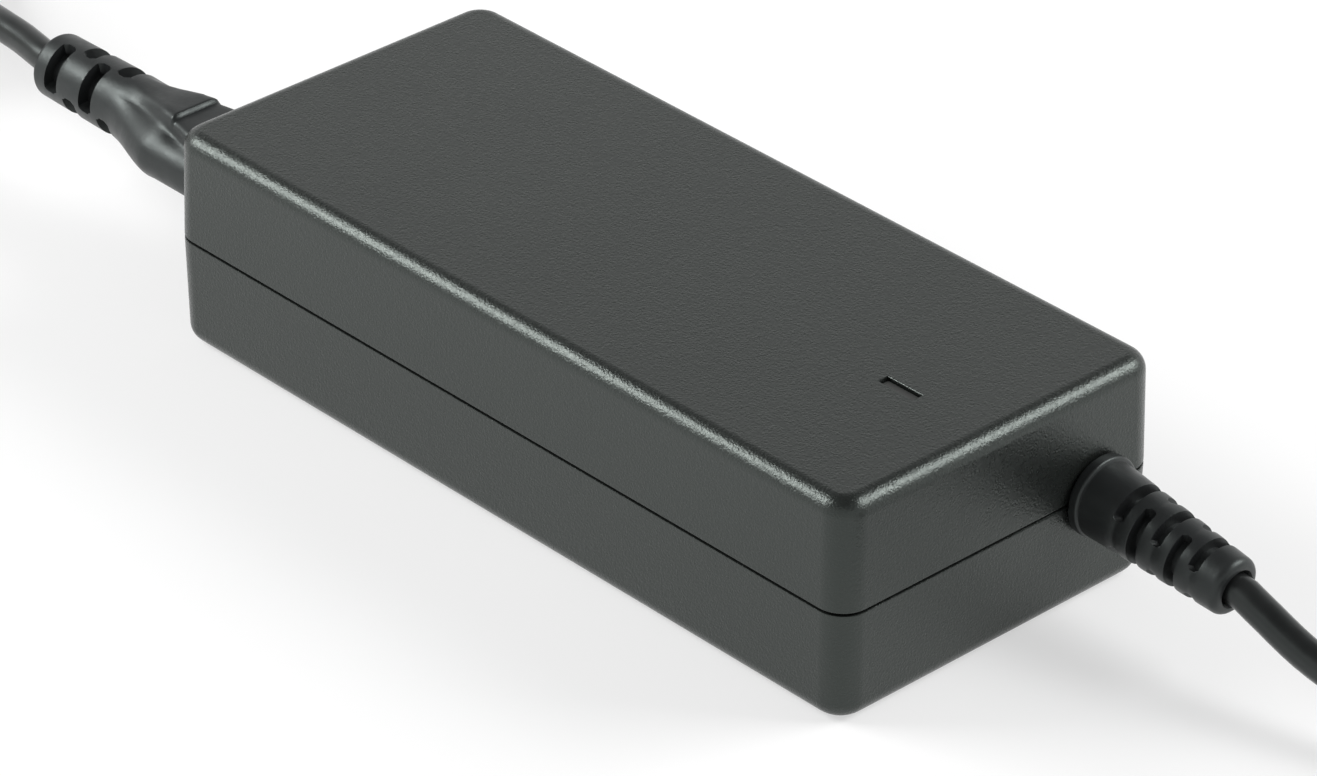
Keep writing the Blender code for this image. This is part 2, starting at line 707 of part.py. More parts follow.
def build_relief(rubber):
    """Strain relief of the low-voltage lead, gripped by the end wall."""
    flange = -WALL_DEPTH
    straight = (
        (flange - RELIEF_FLANGE_THICKNESS, RELIEF_FLANGE_RADIUS),
        (flange, RELIEF_FLANGE_RADIUS),
        (flange, RELIEF_NECK_RADIUS),
        (FIT, RELIEF_NECK_RADIUS),
    )
    rounding = RELIEF_END_RADIUS / 5
    leaning = (
        (RELIEF_COLLAR_LENGTH, RELIEF_COLLAR_RADIUS),
        (RELIEF_COLLAR_LENGTH + FIT, RELIEF_BASE_RADIUS),
        (RELIEF_LENGTH - rounding, RELIEF_END_RADIUS),
        (RELIEF_LENGTH - rounding / 4, RELIEF_END_RADIUS - rounding / 3),
        (RELIEF_LENGTH, RELIEF_END_RADIUS - rounding),
    )
    rings = [circle(RELIEF_BASE + RELIEF_AXIS * s, RELIEF_AXIS, r, ROUND_SIDES) for s, r in straight]
    rings.append(circle(RELIEF_BASE + RELIEF_AXIS * FIT, RELIEF_AXIS, RELIEF_COLLAR_RADIUS, ROUND_SIDES))
    rings += [circle(RELIEF_BASE + RELIEF_LEAN * s, RELIEF_LEAN, r, ROUND_SIDES) for s, r in leaning]
    relief = node("dc_strain_relief", loft(bmesh.new(), rings), rubber)
    slots = bmesh.new()
    for row in range(5):
        along = RELIEF_SLOT_FIRST + RELIEF_SLOT_STEP * row
        first, half_span = (90, 65) if row % 2 == 0 else (0, 72)
        for degrees in (first, first + 180):
            sector(slots, RELIEF_BASE, RELIEF_LEAN, along, RELIEF_SLOT_WIDTH,
                   RELIEF_SLOT_FLOOR, 2 * RELIEF_BASE_RADIUS, degrees, half_span)
    change(relief, slots, "DIFFERENCE")


def can(name, x, y, diameter, height, material):
    """Round part that stands on the board."""
    foot = Vector((x, y, SEAT))
    edge = diameter / 16
    profile = (
        (0, diameter / 2),
        (height - edge, diameter / 2),
        (height, diameter / 2 - edge),
    )
    node(name, turned(bmesh.new(), foot, Vector((0, 0, 1)), profile, SMALL_SIDES), material)


def disc(name, x, y, diameter, thickness, material):
    """Flat round part that stands on its rim on the board."""
    centre = Vector((x - thickness / 2, y, SEAT + diameter / 2))
    profile = ((0, diameter / 2), (thickness, diameter / 2))
    node(name, turned(bmesh.new(), centre, Vector((1, 0, 0)), profile, SMALL_SIDES), material)


def sleeve(x, y, half_in, half_out, z_low, z_high):
    """Upright rectangular sleeve with a rectangular hole."""
    shape = bmesh.new()
    steps = ((z_low, half_in), (z_low, half_out), (z_high, half_out), (z_high, half_in))
    return loft(shape, [rectangle(half[0], half[1], z, x, y) for z, half in steps], closed=True)


def build_line_choke(x, y, ferrite, copper):
    """Frame core on edge, with one winding round each upright leg."""
    half_width = CHOKE_FRAME_WIDTH / 2
    top = SEAT + CHOKE_FRAME_HEIGHT
    half_leg = CHOKE_LEG / 2
    shape = bmesh.new()
    outer = ((-half_width, SEAT), (half_width, SEAT), (half_width, top), (-half_width, top))
    inner = (
        (-half_width + CHOKE_LEG, SEAT + CHOKE_LEG),
        (half_width - CHOKE_LEG, SEAT + CHOKE_LEG),
        (half_width - CHOKE_LEG, top - CHOKE_LEG),
        (-half_width + CHOKE_LEG, top - CHOKE_LEG),
    )
    rings = []
    for outline, side in ((outer, -1), (outer, 1), (inner, 1), (inner, -1)):
        rings.append([Vector((x + side * half_leg, y + across, z)) for across, z in outline])
    node("line_choke_core", loft(shape, rings, closed=True), ferrite)
    half_in = half_leg + FIT
    half_out = half_in + CHOKE_WINDING_BUILD
    low, high = SEAT + CHOKE_LEG + FIT, top - CHOKE_LEG - FIT
    for pole, side in (("live", -1), ("neutral", 1)):
        leg_y = y + side * (half_width - half_leg)
        shape = sleeve(x, leg_y, (half_in, half_in), (half_out, half_out), low, high)
        node("line_choke_winding_" + pole, shape, copper)


def build_heatsink(side_name, device_name, x, y, width, aluminium, black, steel):
    """Upright plate with a power device screwed to its face."""
    length = HEATSINK_THICKNESS + FIT + DEVICE_SIZE[0] + FIT + SCREW_HEAD_HEIGHT
    face = x - length / 2 + HEATSINK_THICKNESS
    plate = bmesh.new()
    low = (face - HEATSINK_THICKNESS, y - width / 2, SEAT)
    box(plate, low, (face, y + width / 2, HEATSINK_TOP))
    plate = node(side_name + "_heatsink", plate, aluminium)

    thickness, device_width, device_height = DEVICE_SIZE
    half, stem = device_width / 2, DEVICE_LEAD_WIDTH / 2
    shoulder = SEAT + DEVICE_LEAD_HEIGHT
    top = shoulder + device_height
    outline = [
        (-stem, SEAT), (stem, SEAT), (stem, shoulder), (half, shoulder),
        (half, top), (-half, top), (-half, shoulder), (-stem, shoulder),
    ]
    front = face + FIT + thickness
    shape = prism(bmesh.new(), [(y + across, z) for across, z in outline], face + FIT, front)
    device = node(device_name, shape, black)

    axis = Vector((-1, 0, 0))
    head = Vector((front + FIT, y, top - device_height / 4))
    reach = thickness + 2 * FIT + HEATSINK_THICKNESS
    hole = ((-FIT, SCREW_RADIUS + FIT), (reach + FIT, SCREW_RADIUS + FIT))
    change(plate, turned(bmesh.new(), head, axis, hole, SMALL_SIDES), "DIFFERENCE")
    change(device, turned(bmesh.new(), head, axis, hole, SMALL_SIDES), "DIFFERENCE")
    profile = (
        (-SCREW_HEAD_HEIGHT, SCREW_HEAD_RADIUS),
        (0, SCREW_HEAD_RADIUS),
        (0, SCREW_RADIUS),
        (reach, SCREW_RADIUS),
    )
    node(side_name + "_heatsink_screw", turned(bmesh.new(), head, axis, profile, SMALL_SIDES), steel)


def build_transformer(x, y, ferrite, plastic, copper):
    """Core with two windows, and a bobbin and winding round its middle leg."""
    half = TRANSFORMER_LENGTH / 2
    top = TRANSFORMER_TOP
    depth = TRANSFORMER_DEPTH / 2
    window_low, window_high = SEAT + TRANSFORMER_SIDE_LEG, top - TRANSFORMER_SIDE_LEG
    core = bmesh.new()
    box(core, (x - half, y - depth, SEAT), (x + half, y + depth, top))
    core = node("transformer_core", core, ferrite)
    windows = bmesh.new()
    middle = TRANSFORMER_MIDDLE_LEG / 2
    for low, high in ((-half + TRANSFORMER_SIDE_LEG, -middle), (middle, half - TRANSFORMER_SIDE_LEG)):
        box(windows, (x + low, y - 2 * depth, window_low), (x + high, y + 2 * depth, window_high))
    change(core, windows, "DIFFERENCE")

    hole = (middle + FIT, depth + FIT)
    barrel = (hole[0] + BOBBIN_WALL, hole[1] + BOBBIN_WALL)
    flange = (half - TRANSFORMER_SIDE_LEG - FIT, depth + WINDING_OVERHANG + BOBBIN_WALL)
    low, high = window_low + FIT, window_high - FIT
    steps = (
        (low, hole), (low, flange), (low + BOBBIN_WALL, flange), (low + BOBBIN_WALL, barrel),
        (high - BOBBIN_WALL, barrel), (high - BOBBIN_WALL, flange), (high, flange), (high, hole),
    )
    rings = [rectangle(size[0], size[1], z, x, y) for z, size in steps]
    node("transformer_bobbin", loft(bmesh.new(), rings, closed=True), plastic)
    wound_in = (barrel[0] + FIT, barrel[1] + FIT)
    wound_out = (flange[0] - BOBBIN_WALL, flange[1] - BOBBIN_WALL)
    rise = BOBBIN_WALL + FIT
    node("transformer_winding", sleeve(x, y, wound_in, wound_out, low + rise, high - rise), copper)


def build_output_choke(x, y, ferrite, copper):
    """Drum core with a winding between its flanges."""
    foot = Vector((x, y, SEAT))
    up = Vector((0, 0, 1))
    rim = OUTPUT_CHOKE_DIAMETER / 2
    low, high = OUTPUT_CHOKE_FLANGE, OUTPUT_CHOKE_HEIGHT - OUTPUT_CHOKE_FLANGE
    profile = (
        (0, rim), (low, rim), (low, OUTPUT_CHOKE_CORE_RADIUS),
        (high, OUTPUT_CHOKE_CORE_RADIUS), (high, rim), (OUTPUT_CHOKE_HEIGHT, rim),
    )
    node("output_choke_core", turned(bmesh.new(), foot, up, profile, SMALL_SIDES), ferrite)
    inner, outer = OUTPUT_CHOKE_CORE_RADIUS + FIT, rim - OUTPUT_CHOKE_FLANGE / 2
    profile = ((low + FIT, inner), (low + FIT, outer), (high - FIT, outer), (high - FIT, inner))
    shape = turned(bmesh.new(), foot, up, profile, SMALL_SIDES, closed=True)
    node("output_choke_winding", shape, copper)


def build_indicator(plastic, lens):
    """Small lamp on a spacer, close under the window."""
    window_bottom = ROOF - FIT - WINDOW_FLANGE_THICKNESS
    lamp_top = window_bottom - FIT
    lamp_base = lamp_top - LED_HEIGHT
    spacer = standing_box(bmesh.new(), WINDOW_X, WINDOW_Y,
                          (LED_SPACER_WIDTH, LED_SPACER_WIDTH, lamp_base - FIT - SEAT), SEAT)
    node("led_spacer", spacer, plastic)
    profile = (
        (0, LED_RADIUS), (LED_HEIGHT - LED_RADIUS, LED_RADIUS),
        (LED_HEIGHT - LED_RADIUS / 3, LED_RADIUS * 0.75), (LED_HEIGHT, LED_RADIUS / 4),
    )
    foot = Vector((WINDOW_X, WINDOW_Y, lamp_base))
    node("led_indicator", turned(bmesh.new(), foot, Vector((0, 0, 1)), profile, SMALL_SIDES), lens)


def wire_down(name, start, step, material):
    """Wire that leaves a level contact, bends over and drops square on to the board."""
    radius = abs(step)
    turn = math.copysign(1, step)
    bend_x = start.x + turn * WIRE_RADIUS
    points = [Vector((start.x, start.y, start.z))]
    bends = 4
    for i in range(bends + 1):
        angle = math.pi / 2 * i / bends
        x = bend_x + turn * radius * math.sin(angle)
        points.append(Vector((x, start.y, start.z - radius * (1 - math.cos(angle)))))
    points.append(Vector((points[-1].x, start.y, SEAT)))
    tube(name, points, 2 * WIRE_RADIUS, 1, material)


def build_wires(colours):
    """Wires from the inlet pins and from the strain relief down to the board."""
    bend = INLET_WIRE_ROOM - PIN_TAIL - FIT - 3 * WIRE_RADIUS
    for pole, (across, up) in POLES.items():
        start = Vector((INLET_BACK_X + PIN_TAIL + FIT, INLET_Y + across, INLET_Z + up))
        wire_down("inlet_wire_" + pole, start, bend, colours[pole])
    inside = HALF_LENGTH - WALL_DEPTH - RELIEF_FLANGE_THICKNESS - FIT
    for name, side in (("positive", -1), ("negative", 1)):
        start = Vector((inside, RELIEF_Y + side * RELIEF_NECK_RADIUS / 2, RELIEF_Z))
        wire_down("dc_wire_" + name, start, -3 * WIRE_RADIUS, colours[name])


def build_circuit(looks):
    """Board and the parts on it, set out in stations along the case."""
    black, ferrite, copper = looks["black"], looks["ferrite"], looks["copper"]
    aluminium, steel, film = looks["aluminium"], looks["steel"], looks["film"]
    board = bmesh.new()
    low = (-BOARD_HALF_LENGTH, -BOARD_HALF_WIDTH, BOARD_BOTTOM)
    box(board, low, (BOARD_HALF_LENGTH, BOARD_HALF_WIDTH, BOARD_TOP))
    node("circuit_board", board, looks["board"])

    device_run = HEATSINK_THICKNESS + 2 * FIT + DEVICE_SIZE[0] + SCREW_HEAD_HEIGHT
    winding_run = CHOKE_LEG + 2 * (FIT + CHOKE_WINDING_BUILD)
    lengths = (
        max(FUSE_DIAMETER, VARISTOR_THICKNESS, X_CAPACITOR_SIZE[0]), winding_run,
        max(BULK_CAPACITOR_DIAMETER, BRIDGE_SIZE[0], Y_CAPACITOR_THICKNESS), device_run,
        TRANSFORMER_LENGTH, device_run,
    )
    first = INLET_BACK_X + INLET_WIRE_ROOM
    last = WINDOW_X - max(OUTPUT_CAPACITOR_DIAMETER, OUTPUT_CHOKE_DIAMETER, LED_SPACER_WIDTH) / 2
    input_x, choke_x, bulk_x, primary_x, transformer_x, secondary_x = spread(first, last, lengths)
    edge = BOARD_HALF_WIDTH

    widths = (FUSE_DIAMETER, VARISTOR_DIAMETER, X_CAPACITOR_SIZE[1])
    fuse_y, varistor_y, x_capacitor_y = spread(-edge, edge, widths)
    can("fuse", input_x, fuse_y, FUSE_DIAMETER, FUSE_HEIGHT, black)
    disc("varistor", input_x, varistor_y, VARISTOR_DIAMETER, VARISTOR_THICKNESS, looks["blue"])
    shape = standing_box(bmesh.new(), input_x, x_capacitor_y, X_CAPACITOR_SIZE, SEAT)
    node("x_capacitor", shape, looks["yellow"])

    build_line_choke(choke_x, 0.0, ferrite, copper)

    widths = (BRIDGE_SIZE[1], Y_CAPACITOR_DIAMETER, BULK_CAPACITOR_DIAMETER)
    bridge_y, y_capacitor_y, bulk_y = spread(-edge, edge, widths)
    node("bridge_rectifier", standing_box(bmesh.new(), bulk_x, bridge_y, BRIDGE_SIZE, SEAT), black)
    disc("y_capacitor", bulk_x, y_capacitor_y, Y_CAPACITOR_DIAMETER, Y_CAPACITOR_THICKNESS, looks["blue"])
    can("bulk_capacitor", bulk_x, bulk_y, BULK_CAPACITOR_DIAMETER, TALL_TOP - SEAT, black)

    build_heatsink("primary", "power_transistor", primary_x, 0.0, PRIMARY_HEATSINK_WIDTH,
                   aluminium, black, steel)
    build_transformer(transformer_x, 0.0, ferrite, black, copper)

    widths = (SECONDARY_HEATSINK_WIDTH, OPTOCOUPLER_SIZE[1])
    secondary_y, optocoupler_y = spread(-edge, edge, widths)
    build_heatsink("secondary", "output_rectifier", secondary_x, secondary_y, SECONDARY_HEATSINK_WIDTH,
                   aluminium, black, steel)
    node("optocoupler", standing_box(bmesh.new(), secondary_x, optocoupler_y, OPTOCOUPLER_SIZE, SEAT), black)
    chip_base = BOARD_BOTTOM - FIT - CONTROL_CHIP_SIZE[2]
    node("control_chip", standing_box(bmesh.new(), primary_x, 0.0, CONTROL_CHIP_SIZE, chip_base), black)

    beside = LED_SPACER_WIDTH / 2
    choke_y, = spread(-edge, WINDOW_Y - beside, (OUTPUT_CHOKE_DIAMETER,))
    build_output_choke(WINDOW_X, choke_y, ferrite, copper)
    places = spread(WINDOW_Y + beside, edge, (OUTPUT_CAPACITOR_DIAMETER,) * 2)
    for number, y in enumerate(places, 1):
        can("output_capacitor_%d" % number, WINDOW_X, y, OUTPUT_CAPACITOR_DIAMETER, TALL_TOP - SEAT, black)
    build_indicator(looks["cream"], looks["lens"])

    clear_x = WINDOW_X - WINDOW_LENGTH / 2 - WINDOW_FLANGE - 3 * FIT
    for name, z, thickness, material in (
            ("heat_spreader", SPREADER_BOTTOM, SPREADER_THICKNESS, aluminium),
            ("insulation_sheet", SHEET_BOTTOM, SHEET_THICKNESS, film)):
        sheet = bmesh.new()
        low = (-BOARD_HALF_LENGTH, -BOARD_HALF_WIDTH, z)
        box(sheet, low, (clear_x, BOARD_HALF_WIDTH, z + thickness))
        node(name, sheet, material)


class Coil:
    """Loops of a lead put away in layers, from its straight start up to the plug that lies on top."""

    def __init__(self, centre, radius, layers, turns, start_degrees, sense, diameter):
        self.centre = centre
        self.radius = radius
        self.layers = layers
        self.turns = turns
        self.start_degrees = start_degrees
        self.sense = sense
        self.diameter = diameter
        self.pitch = diameter + TURN_GAP
        self.floor = TIE_THICKNESS + TIE_CLEARANCE
        self.first_z = self.floor + diameter / 2
        self.top = self.floor + diameter + self.pitch * (layers - 1)

    def point(self, radius, degrees, z):
        """Point about the middle of the coil."""
        angle = math.radians(degrees)
        x = self.centre[0] + radius * math.cos(angle)
        y = self.centre[1] + radius * math.sin(angle)
        return Vector((x, y, z))

    def heading(self, degrees):
        """Direction of travel at an angle."""
        angle = math.radians(degrees)
        return Vector((-math.sin(angle), math.cos(angle), 0)) * self.sense

    def loop_point(self, turn):
        """Point after so many turns: the spiral reverses midway through each half-turn climb."""
        half_wave = self.turns + 0.5
        wave = (turn + 0.25) % (2 * half_wave)
        inward = min(wave, 2 * half_wave - wave) - 0.25
        layer = min(int(turn / half_wave + 1e-9), self.layers - 1)
        climb = ease((turn - layer * half_wave - self.turns) * 2)
        if layer == self.layers - 1:
            climb = 0.0
        radius = self.radius - self.pitch * inward
        degrees = self.start_degrees + self.sense * 360 * turn
        return self.point(radius, degrees, self.first_z + self.pitch * (layer + climb))

    def points(self, plug_z):
        """The whole tube: straight start, loops, a last rise and an inward bend to the plug."""
        start = self.point(self.radius, self.start_degrees, self.first_z)
        line = [start - self.heading(self.start_degrees) * self.diameter]
        total = self.layers * self.turns + (self.layers - 1) / 2
        count = round(total * POINTS_A_LOOP)
        line += [self.loop_point(i / POINTS_A_LOOP) for i in range(count + 1)]
        degrees = self.start_degrees + self.sense * 360 * total
        quarter = POINTS_A_LOOP // 4
        run = self.radius + COIL_END_BEND
        low = line[-1].z
        for i in range(1, quarter + 1):
            rise = ease(self.radius / run * i / quarter)
            turned_by = self.sense * 90 * i / quarter
            radius = self.radius + self.pitch / 4 * i / quarter
            line.append(self.point(radius, degrees + turned_by, low + (plug_z - low) * rise))
        degrees += self.sense * 90
        pivot = self.point(self.radius + self.pitch / 4 - COIL_END_BEND, degrees, 0.0)
        for i in range(1, quarter + 1):
            rise = ease((self.radius + COIL_END_BEND * i / quarter) / run)
            angle = math.radians(degrees + self.sense * 90 * i / quarter)
            arm = Vector((math.cos(angle), math.sin(angle), 0)) * COIL_END_BEND
            line.append(pivot + arm + Vector((0, 0, low + (plug_z - low) * rise)))
        line.append(line[-1] + self.heading(degrees + self.sense * 90) * self.diameter)
        return line

    def tie(self, degrees):
        """Flat strap round all the loops at one place."""
        inner = self.radius - self.pitch * (self.turns + 0.25) - self.diameter / 2 - TIE_CLEARANCE
        outer = self.radius + self.pitch / 4 + self.diameter / 2 + TIE_CLEARANCE
        low, high = self.floor - TIE_CLEARANCE, self.top + TIE_CLEARANCE
        along = self.heading(degrees) * (TIE_WIDTH / 2)

        def ring(side, more):
            corners = ((inner - more, low - more), (outer + more, low - more),
                       (outer + more, high + more), (inner - more, high + more))
            return [self.point(r, degrees, z) + along * side for r, z in corners]

        steps = ((-1, 0.0), (-1, TIE_THICKNESS), (1, TIE_THICKNESS), (1, 0.0))
        return loft(bmesh.new(), [ring(side, more) for side, more in steps], closed=True)


def least_gap(points, diameter):
    """Least clear distance between stretches of one tube that aren't next to each other."""
    fine = []
    for a, b in zip(points, points[1:]):
        fine += [a.lerp(b, i / 4) for i in range(4)]
    reach = [0.0]
    for a, b in zip(fine, fine[1:]):
        reach.append(reach[-1] + (b - a).length)
    least = math.inf
    for i, place in enumerate(fine):
        for j in range(i):
            if reach[i] - reach[j] > 5 * diameter:
                least = min(least, (place - fine[j]).length)
    return least - diameter


def oval_ring(base, along, half_across, half_up, power):
    """Upright ring along X: round at power 2, nearer to a rectangle at higher powers."""
    ring = []
    for i in range(ROUND_SIDES):
        angle = 2 * math.pi * i / ROUND_SIDES
        across, up = math.cos(angle), math.sin(angle)
        radius = (abs(across / half_across) ** power + abs(up / half_up) ** power) ** (-1 / power)
        ring.append(base + Vector((along, radius * across, radius * up)))
    return ring


def build_mains_plug(base, rubber, brass, carrier):
    """Moulded plug of the mains lead with two flat blades and a round earth pin."""
    thin, thick = 0.7 * MAINS_CORD_DIAMETER, 1.1 * MAINS_CORD_DIAMETER
    half_width, half_height = MAINS_PLUG_WIDTH / 2, MAINS_PLUG_HEIGHT / 2
    front = MAINS_PLUG_RELIEF + MAINS_PLUG_LENGTH
    edge = MAINS_PLUG_LENGTH / 14
    steps = (
        (0.0, thin, thin, 2),
        (MAINS_PLUG_RELIEF, thick, thick, 2),
        (MAINS_PLUG_RELIEF + edge, 0.7 * half_width, 0.7 * half_height, 3),
        (MAINS_PLUG_RELIEF + MAINS_PLUG_LENGTH / 3, half_width, half_height, 5),
        (front - edge, half_width, half_height, 6),
        (front, half_width - edge, half_height - edge, 6),
    )
    rings = [oval_ring(base, along, across, up, power) for along, across, up, power in steps]
    body = node("mains_plug_body", loft(bmesh.new(), rings), rubber, carrier)

    def blade(y, clearance, root, reach):
        low = base + Vector((front - root, y - BLADE_THICKNESS / 2 - clearance,
                             BLADE_RISE - BLADE_HEIGHT / 2 - clearance))
        high = base + Vector((front + reach, y + BLADE_THICKNESS / 2 + clearance,
                              BLADE_RISE + BLADE_HEIGHT / 2 + clearance))
        return low, high

    pockets = bmesh.new()
    sides = (("live", -BLADE_SPACING / 2), ("neutral", BLADE_SPACING / 2))
    for name, y in sides:
        box(pockets, *blade(y, FIT, BLADE_ROOT + FIT, FIT))
        node("mains_blade_" + name, box(bmesh.new(), *blade(y, 0.0, BLADE_ROOT, BLADE_REACH)), brass, carrier)
    pin = base + Vector((front, 0, BLADE_RISE - EARTH_PIN_BELOW_BLADES))
    axis = Vector((1, 0, 0))
    bore = EARTH_PIN_RADIUS + FIT
    turned(pockets, pin, axis, ((-BLADE_ROOT - FIT, bore), (FIT, bore)), SMALL_SIDES)
    change(body, pockets, "DIFFERENCE")
    profile = (
        (-BLADE_ROOT, EARTH_PIN_RADIUS),
        (EARTH_PIN_REACH - EARTH_PIN_RADIUS, EARTH_PIN_RADIUS),
        (EARTH_PIN_REACH - EARTH_PIN_RADIUS / 3, EARTH_PIN_RADIUS * 0.75),
        (EARTH_PIN_REACH, EARTH_PIN_RADIUS / 3),
    )
    node("mains_earth_pin", turned(bmesh.new(), pin, axis, profile, SMALL_SIDES), brass, carrier)


def build_dc_plug(base, rubber, metal, plastic):
    """Round plug of the low-voltage lead with a barrel and an insulating sleeve inside it."""
    thin, thick = 0.65 * DC_CORD_DIAMETER, 0.8 * DC_CORD_DIAMETER
    axis = Vector((1, 0, 0))
    front = DC_PLUG_RELIEF + DC_PLUG_GRIP_LENGTH
    edge = DC_PLUG_GRIP_RADIUS / 6
    profile = (
        (0, thin), (DC_PLUG_RELIEF, thick), (DC_PLUG_RELIEF + edge, DC_PLUG_GRIP_RADIUS),
        (front - edge, DC_PLUG_GRIP_RADIUS), (front, DC_PLUG_GRIP_RADIUS - edge),
    )
    body = node("dc_plug_body", turned(bmesh.new(), base, axis, profile, ROUND_SIDES), rubber)
    face = base + axis * front
    bore = BARREL_RADIUS + FIT
    pocket = turned(bmesh.new(), face, axis, ((-BARREL_ROOT - FIT, bore), (FIT, bore)), ROUND_SIDES)
    change(body, pocket, "DIFFERENCE")

    def pipe(outer, wall, tip):
        inner = outer - wall
        ends = ((-BARREL_ROOT, inner), (-BARREL_ROOT, outer), (tip, outer), (tip, inner))
        return turned(bmesh.new(), face, axis, ends, ROUND_SIDES, closed=True)

    node("dc_plug_barrel", pipe(BARREL_RADIUS, BARREL_WALL, BARREL_REACH), metal)
    sleeve_radius = BARREL_RADIUS - BARREL_WALL - FIT
    node("dc_plug_insulator", pipe(sleeve_radius, INSULATOR_WALL, BARREL_REACH - FIT), plastic)


def lead_route(start, heading, route, coil):
    """Smooth free stretch of a lead, from its strain relief to the straight start of its coil."""
    entry = coil.heading(coil.start_degrees)
    end = coil.point(coil.radius, coil.start_degrees, coil.first_z) - entry * (coil.diameter + FIT)
    first = start + heading * FIT
    stub = coil.diameter / 2
    guides = [first, first + heading * stub]
    guides += [Vector((start.x + along, start.y + across, z)) for along, across, z in route]
    guides += [end - entry * stub, end]
    return [first] + smooth_route(guides, 2 * coil.diameter) + [end]


def build_lead(name, start, heading, route, coil, plug_z, tie_degrees, rubber, strap, carrier=None):
    """Free stretch, coil and tie of one lead; returns where its plug begins."""
    free = lead_route(start, heading, route, coil)
    tube(name + "_cord", free, coil.diameter, 3, rubber, carrier)
    loops = coil.points(plug_z)
    tube(name + "_coil", loops, coil.diameter, 1, rubber, carrier)
    node(name + "_cord_tie", coil.tie(tie_degrees), strap, carrier)
    print(name, "lead: length %.4f m" % (route_length(free) + route_length(loops)),
          "least gap in its coil %.2f mm" % (1000 * least_gap(loops, coil.diameter)))
    return loops[-1] + (loops[-1] - loops[-2]).normalized() * FIT


def build_mains_lead(rubber, metal, brass, strap):
    """The lead that pulls out of the inlet, hung on an empty on the line that it slides along."""
    carrier = bpy.data.objects.new("mains_lead_slide", None)
    carrier.location = CONNECTOR_BASE
    bpy.context.collection.objects.link(carrier)
    build_connector(rubber, metal, carrier)
    start = CONNECTOR_BASE + CONNECTOR_AXIS * CONNECTOR_LENGTH
    coil = Coil(start.xy + Vector(MAINS_COIL_OFFSET), MAINS_COIL_RADIUS, MAINS_COIL_LAYERS,
                MAINS_COIL_TURNS, MAINS_COIL_START_DEGREES, 1, MAINS_CORD_DIAMETER)
    plug_z = coil.top + TIE_CLEARANCE + MAINS_PLUG_HEIGHT / 2
    plug = build_lead("mains", start, CONNECTOR_AXIS, MAINS_ROUTE, coil, plug_z,
                      MAINS_TIE_DEGREES, rubber, strap, carrier)
    build_mains_plug(plug, rubber, brass, carrier)


def build_dc_lead(rubber, metal, plastic, strap):
    """The captive low-voltage lead."""
    build_relief(rubber)
    start = RELIEF_BASE + RELIEF_LEAN * RELIEF_LENGTH
    coil = Coil(start.xy + Vector(DC_COIL_OFFSET), DC_COIL_RADIUS, DC_COIL_LAYERS,
                DC_COIL_TURNS, DC_COIL_START_DEGREES, -1, DC_CORD_DIAMETER)
    plug_z = coil.top + TIE_CLEARANCE + DC_PLUG_GRIP_RADIUS
    plug = build_lead("dc", start, RELIEF_LEAN, DC_ROUTE, coil, plug_z, DC_TIE_DEGREES, rubber, strap)
    build_dc_plug(plug, rubber, metal, plastic)


def main():
    """Build every piece."""
    clear_scene()
    case_plastic = finish("case_plastic", (0.075, 0.077, 0.074), 0.62)
    rubber = finish("cord_rubber", (0.012, 0.012, 0.013), 0.42)
    nickel = finish("nickel", (0.62, 0.60, 0.56), 0.28, 1.0)
    brass = finish("plated_brass", (0.70, 0.62, 0.42), 0.26, 1.0)
    strap = finish("tie_strap", (0.02, 0.02, 0.02), 0.55)
    looks = {
        "black": finish("component_black", (0.02, 0.02, 0.022), 0.45),
        "ferrite": finish("ferrite", (0.05, 0.048, 0.046), 0.7),
        "copper": finish("copper_wire", (0.70, 0.32, 0.14), 0.35, 1.0),
        "aluminium": finish("aluminium", (0.72, 0.73, 0.74), 0.38, 1.0),
        "steel": finish("screw_steel", (0.56, 0.57, 0.58), 0.32, 1.0),
        "film": finish("insulating_film", (0.80, 0.78, 0.70), 0.5),
        "board": finish("board_laminate", (0.05, 0.20, 0.08), 0.5),
        "blue": finish("ceramic_blue", (0.05, 0.12, 0.40), 0.4),
        "yellow": finish("capacitor_yellow", (0.70, 0.48, 0.06), 0.45),
        "cream": finish("spacer_cream", (0.75, 0.70, 0.58), 0.55),
        "lens": finish("lens_clear", (0.45, 0.50, 0.46), 0.2),
    }
    wires = {
        "live": finish("wire_brown", (0.22, 0.09, 0.04), 0.5),
        "neutral": finish("wire_blue", (0.04, 0.10, 0.35), 0.5),
        "earth": finish("wire_green", (0.10, 0.35, 0.08), 0.5),
        "positive": finish("wire_red", (0.45, 0.03, 0.03), 0.5),
        "negative": finish("wire_black", (0.02, 0.02, 0.02), 0.5),
    }
    build_case(case_plastic, looks["lens"])
    build_inlet(looks["black"], nickel)
    build_circuit(looks)
    build_wires(wires)
    build_mains_lead(rubber, nickel, brass, strap)
    build_dc_lead(rubber, nickel, looks["black"], strap)


main()
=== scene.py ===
"""Looks of the laptop power adapter: finishes, fine shapes, both leads, floor, light and camera."""
import math

import bmesh
import bpy
from mathutils import Matrix, Vector


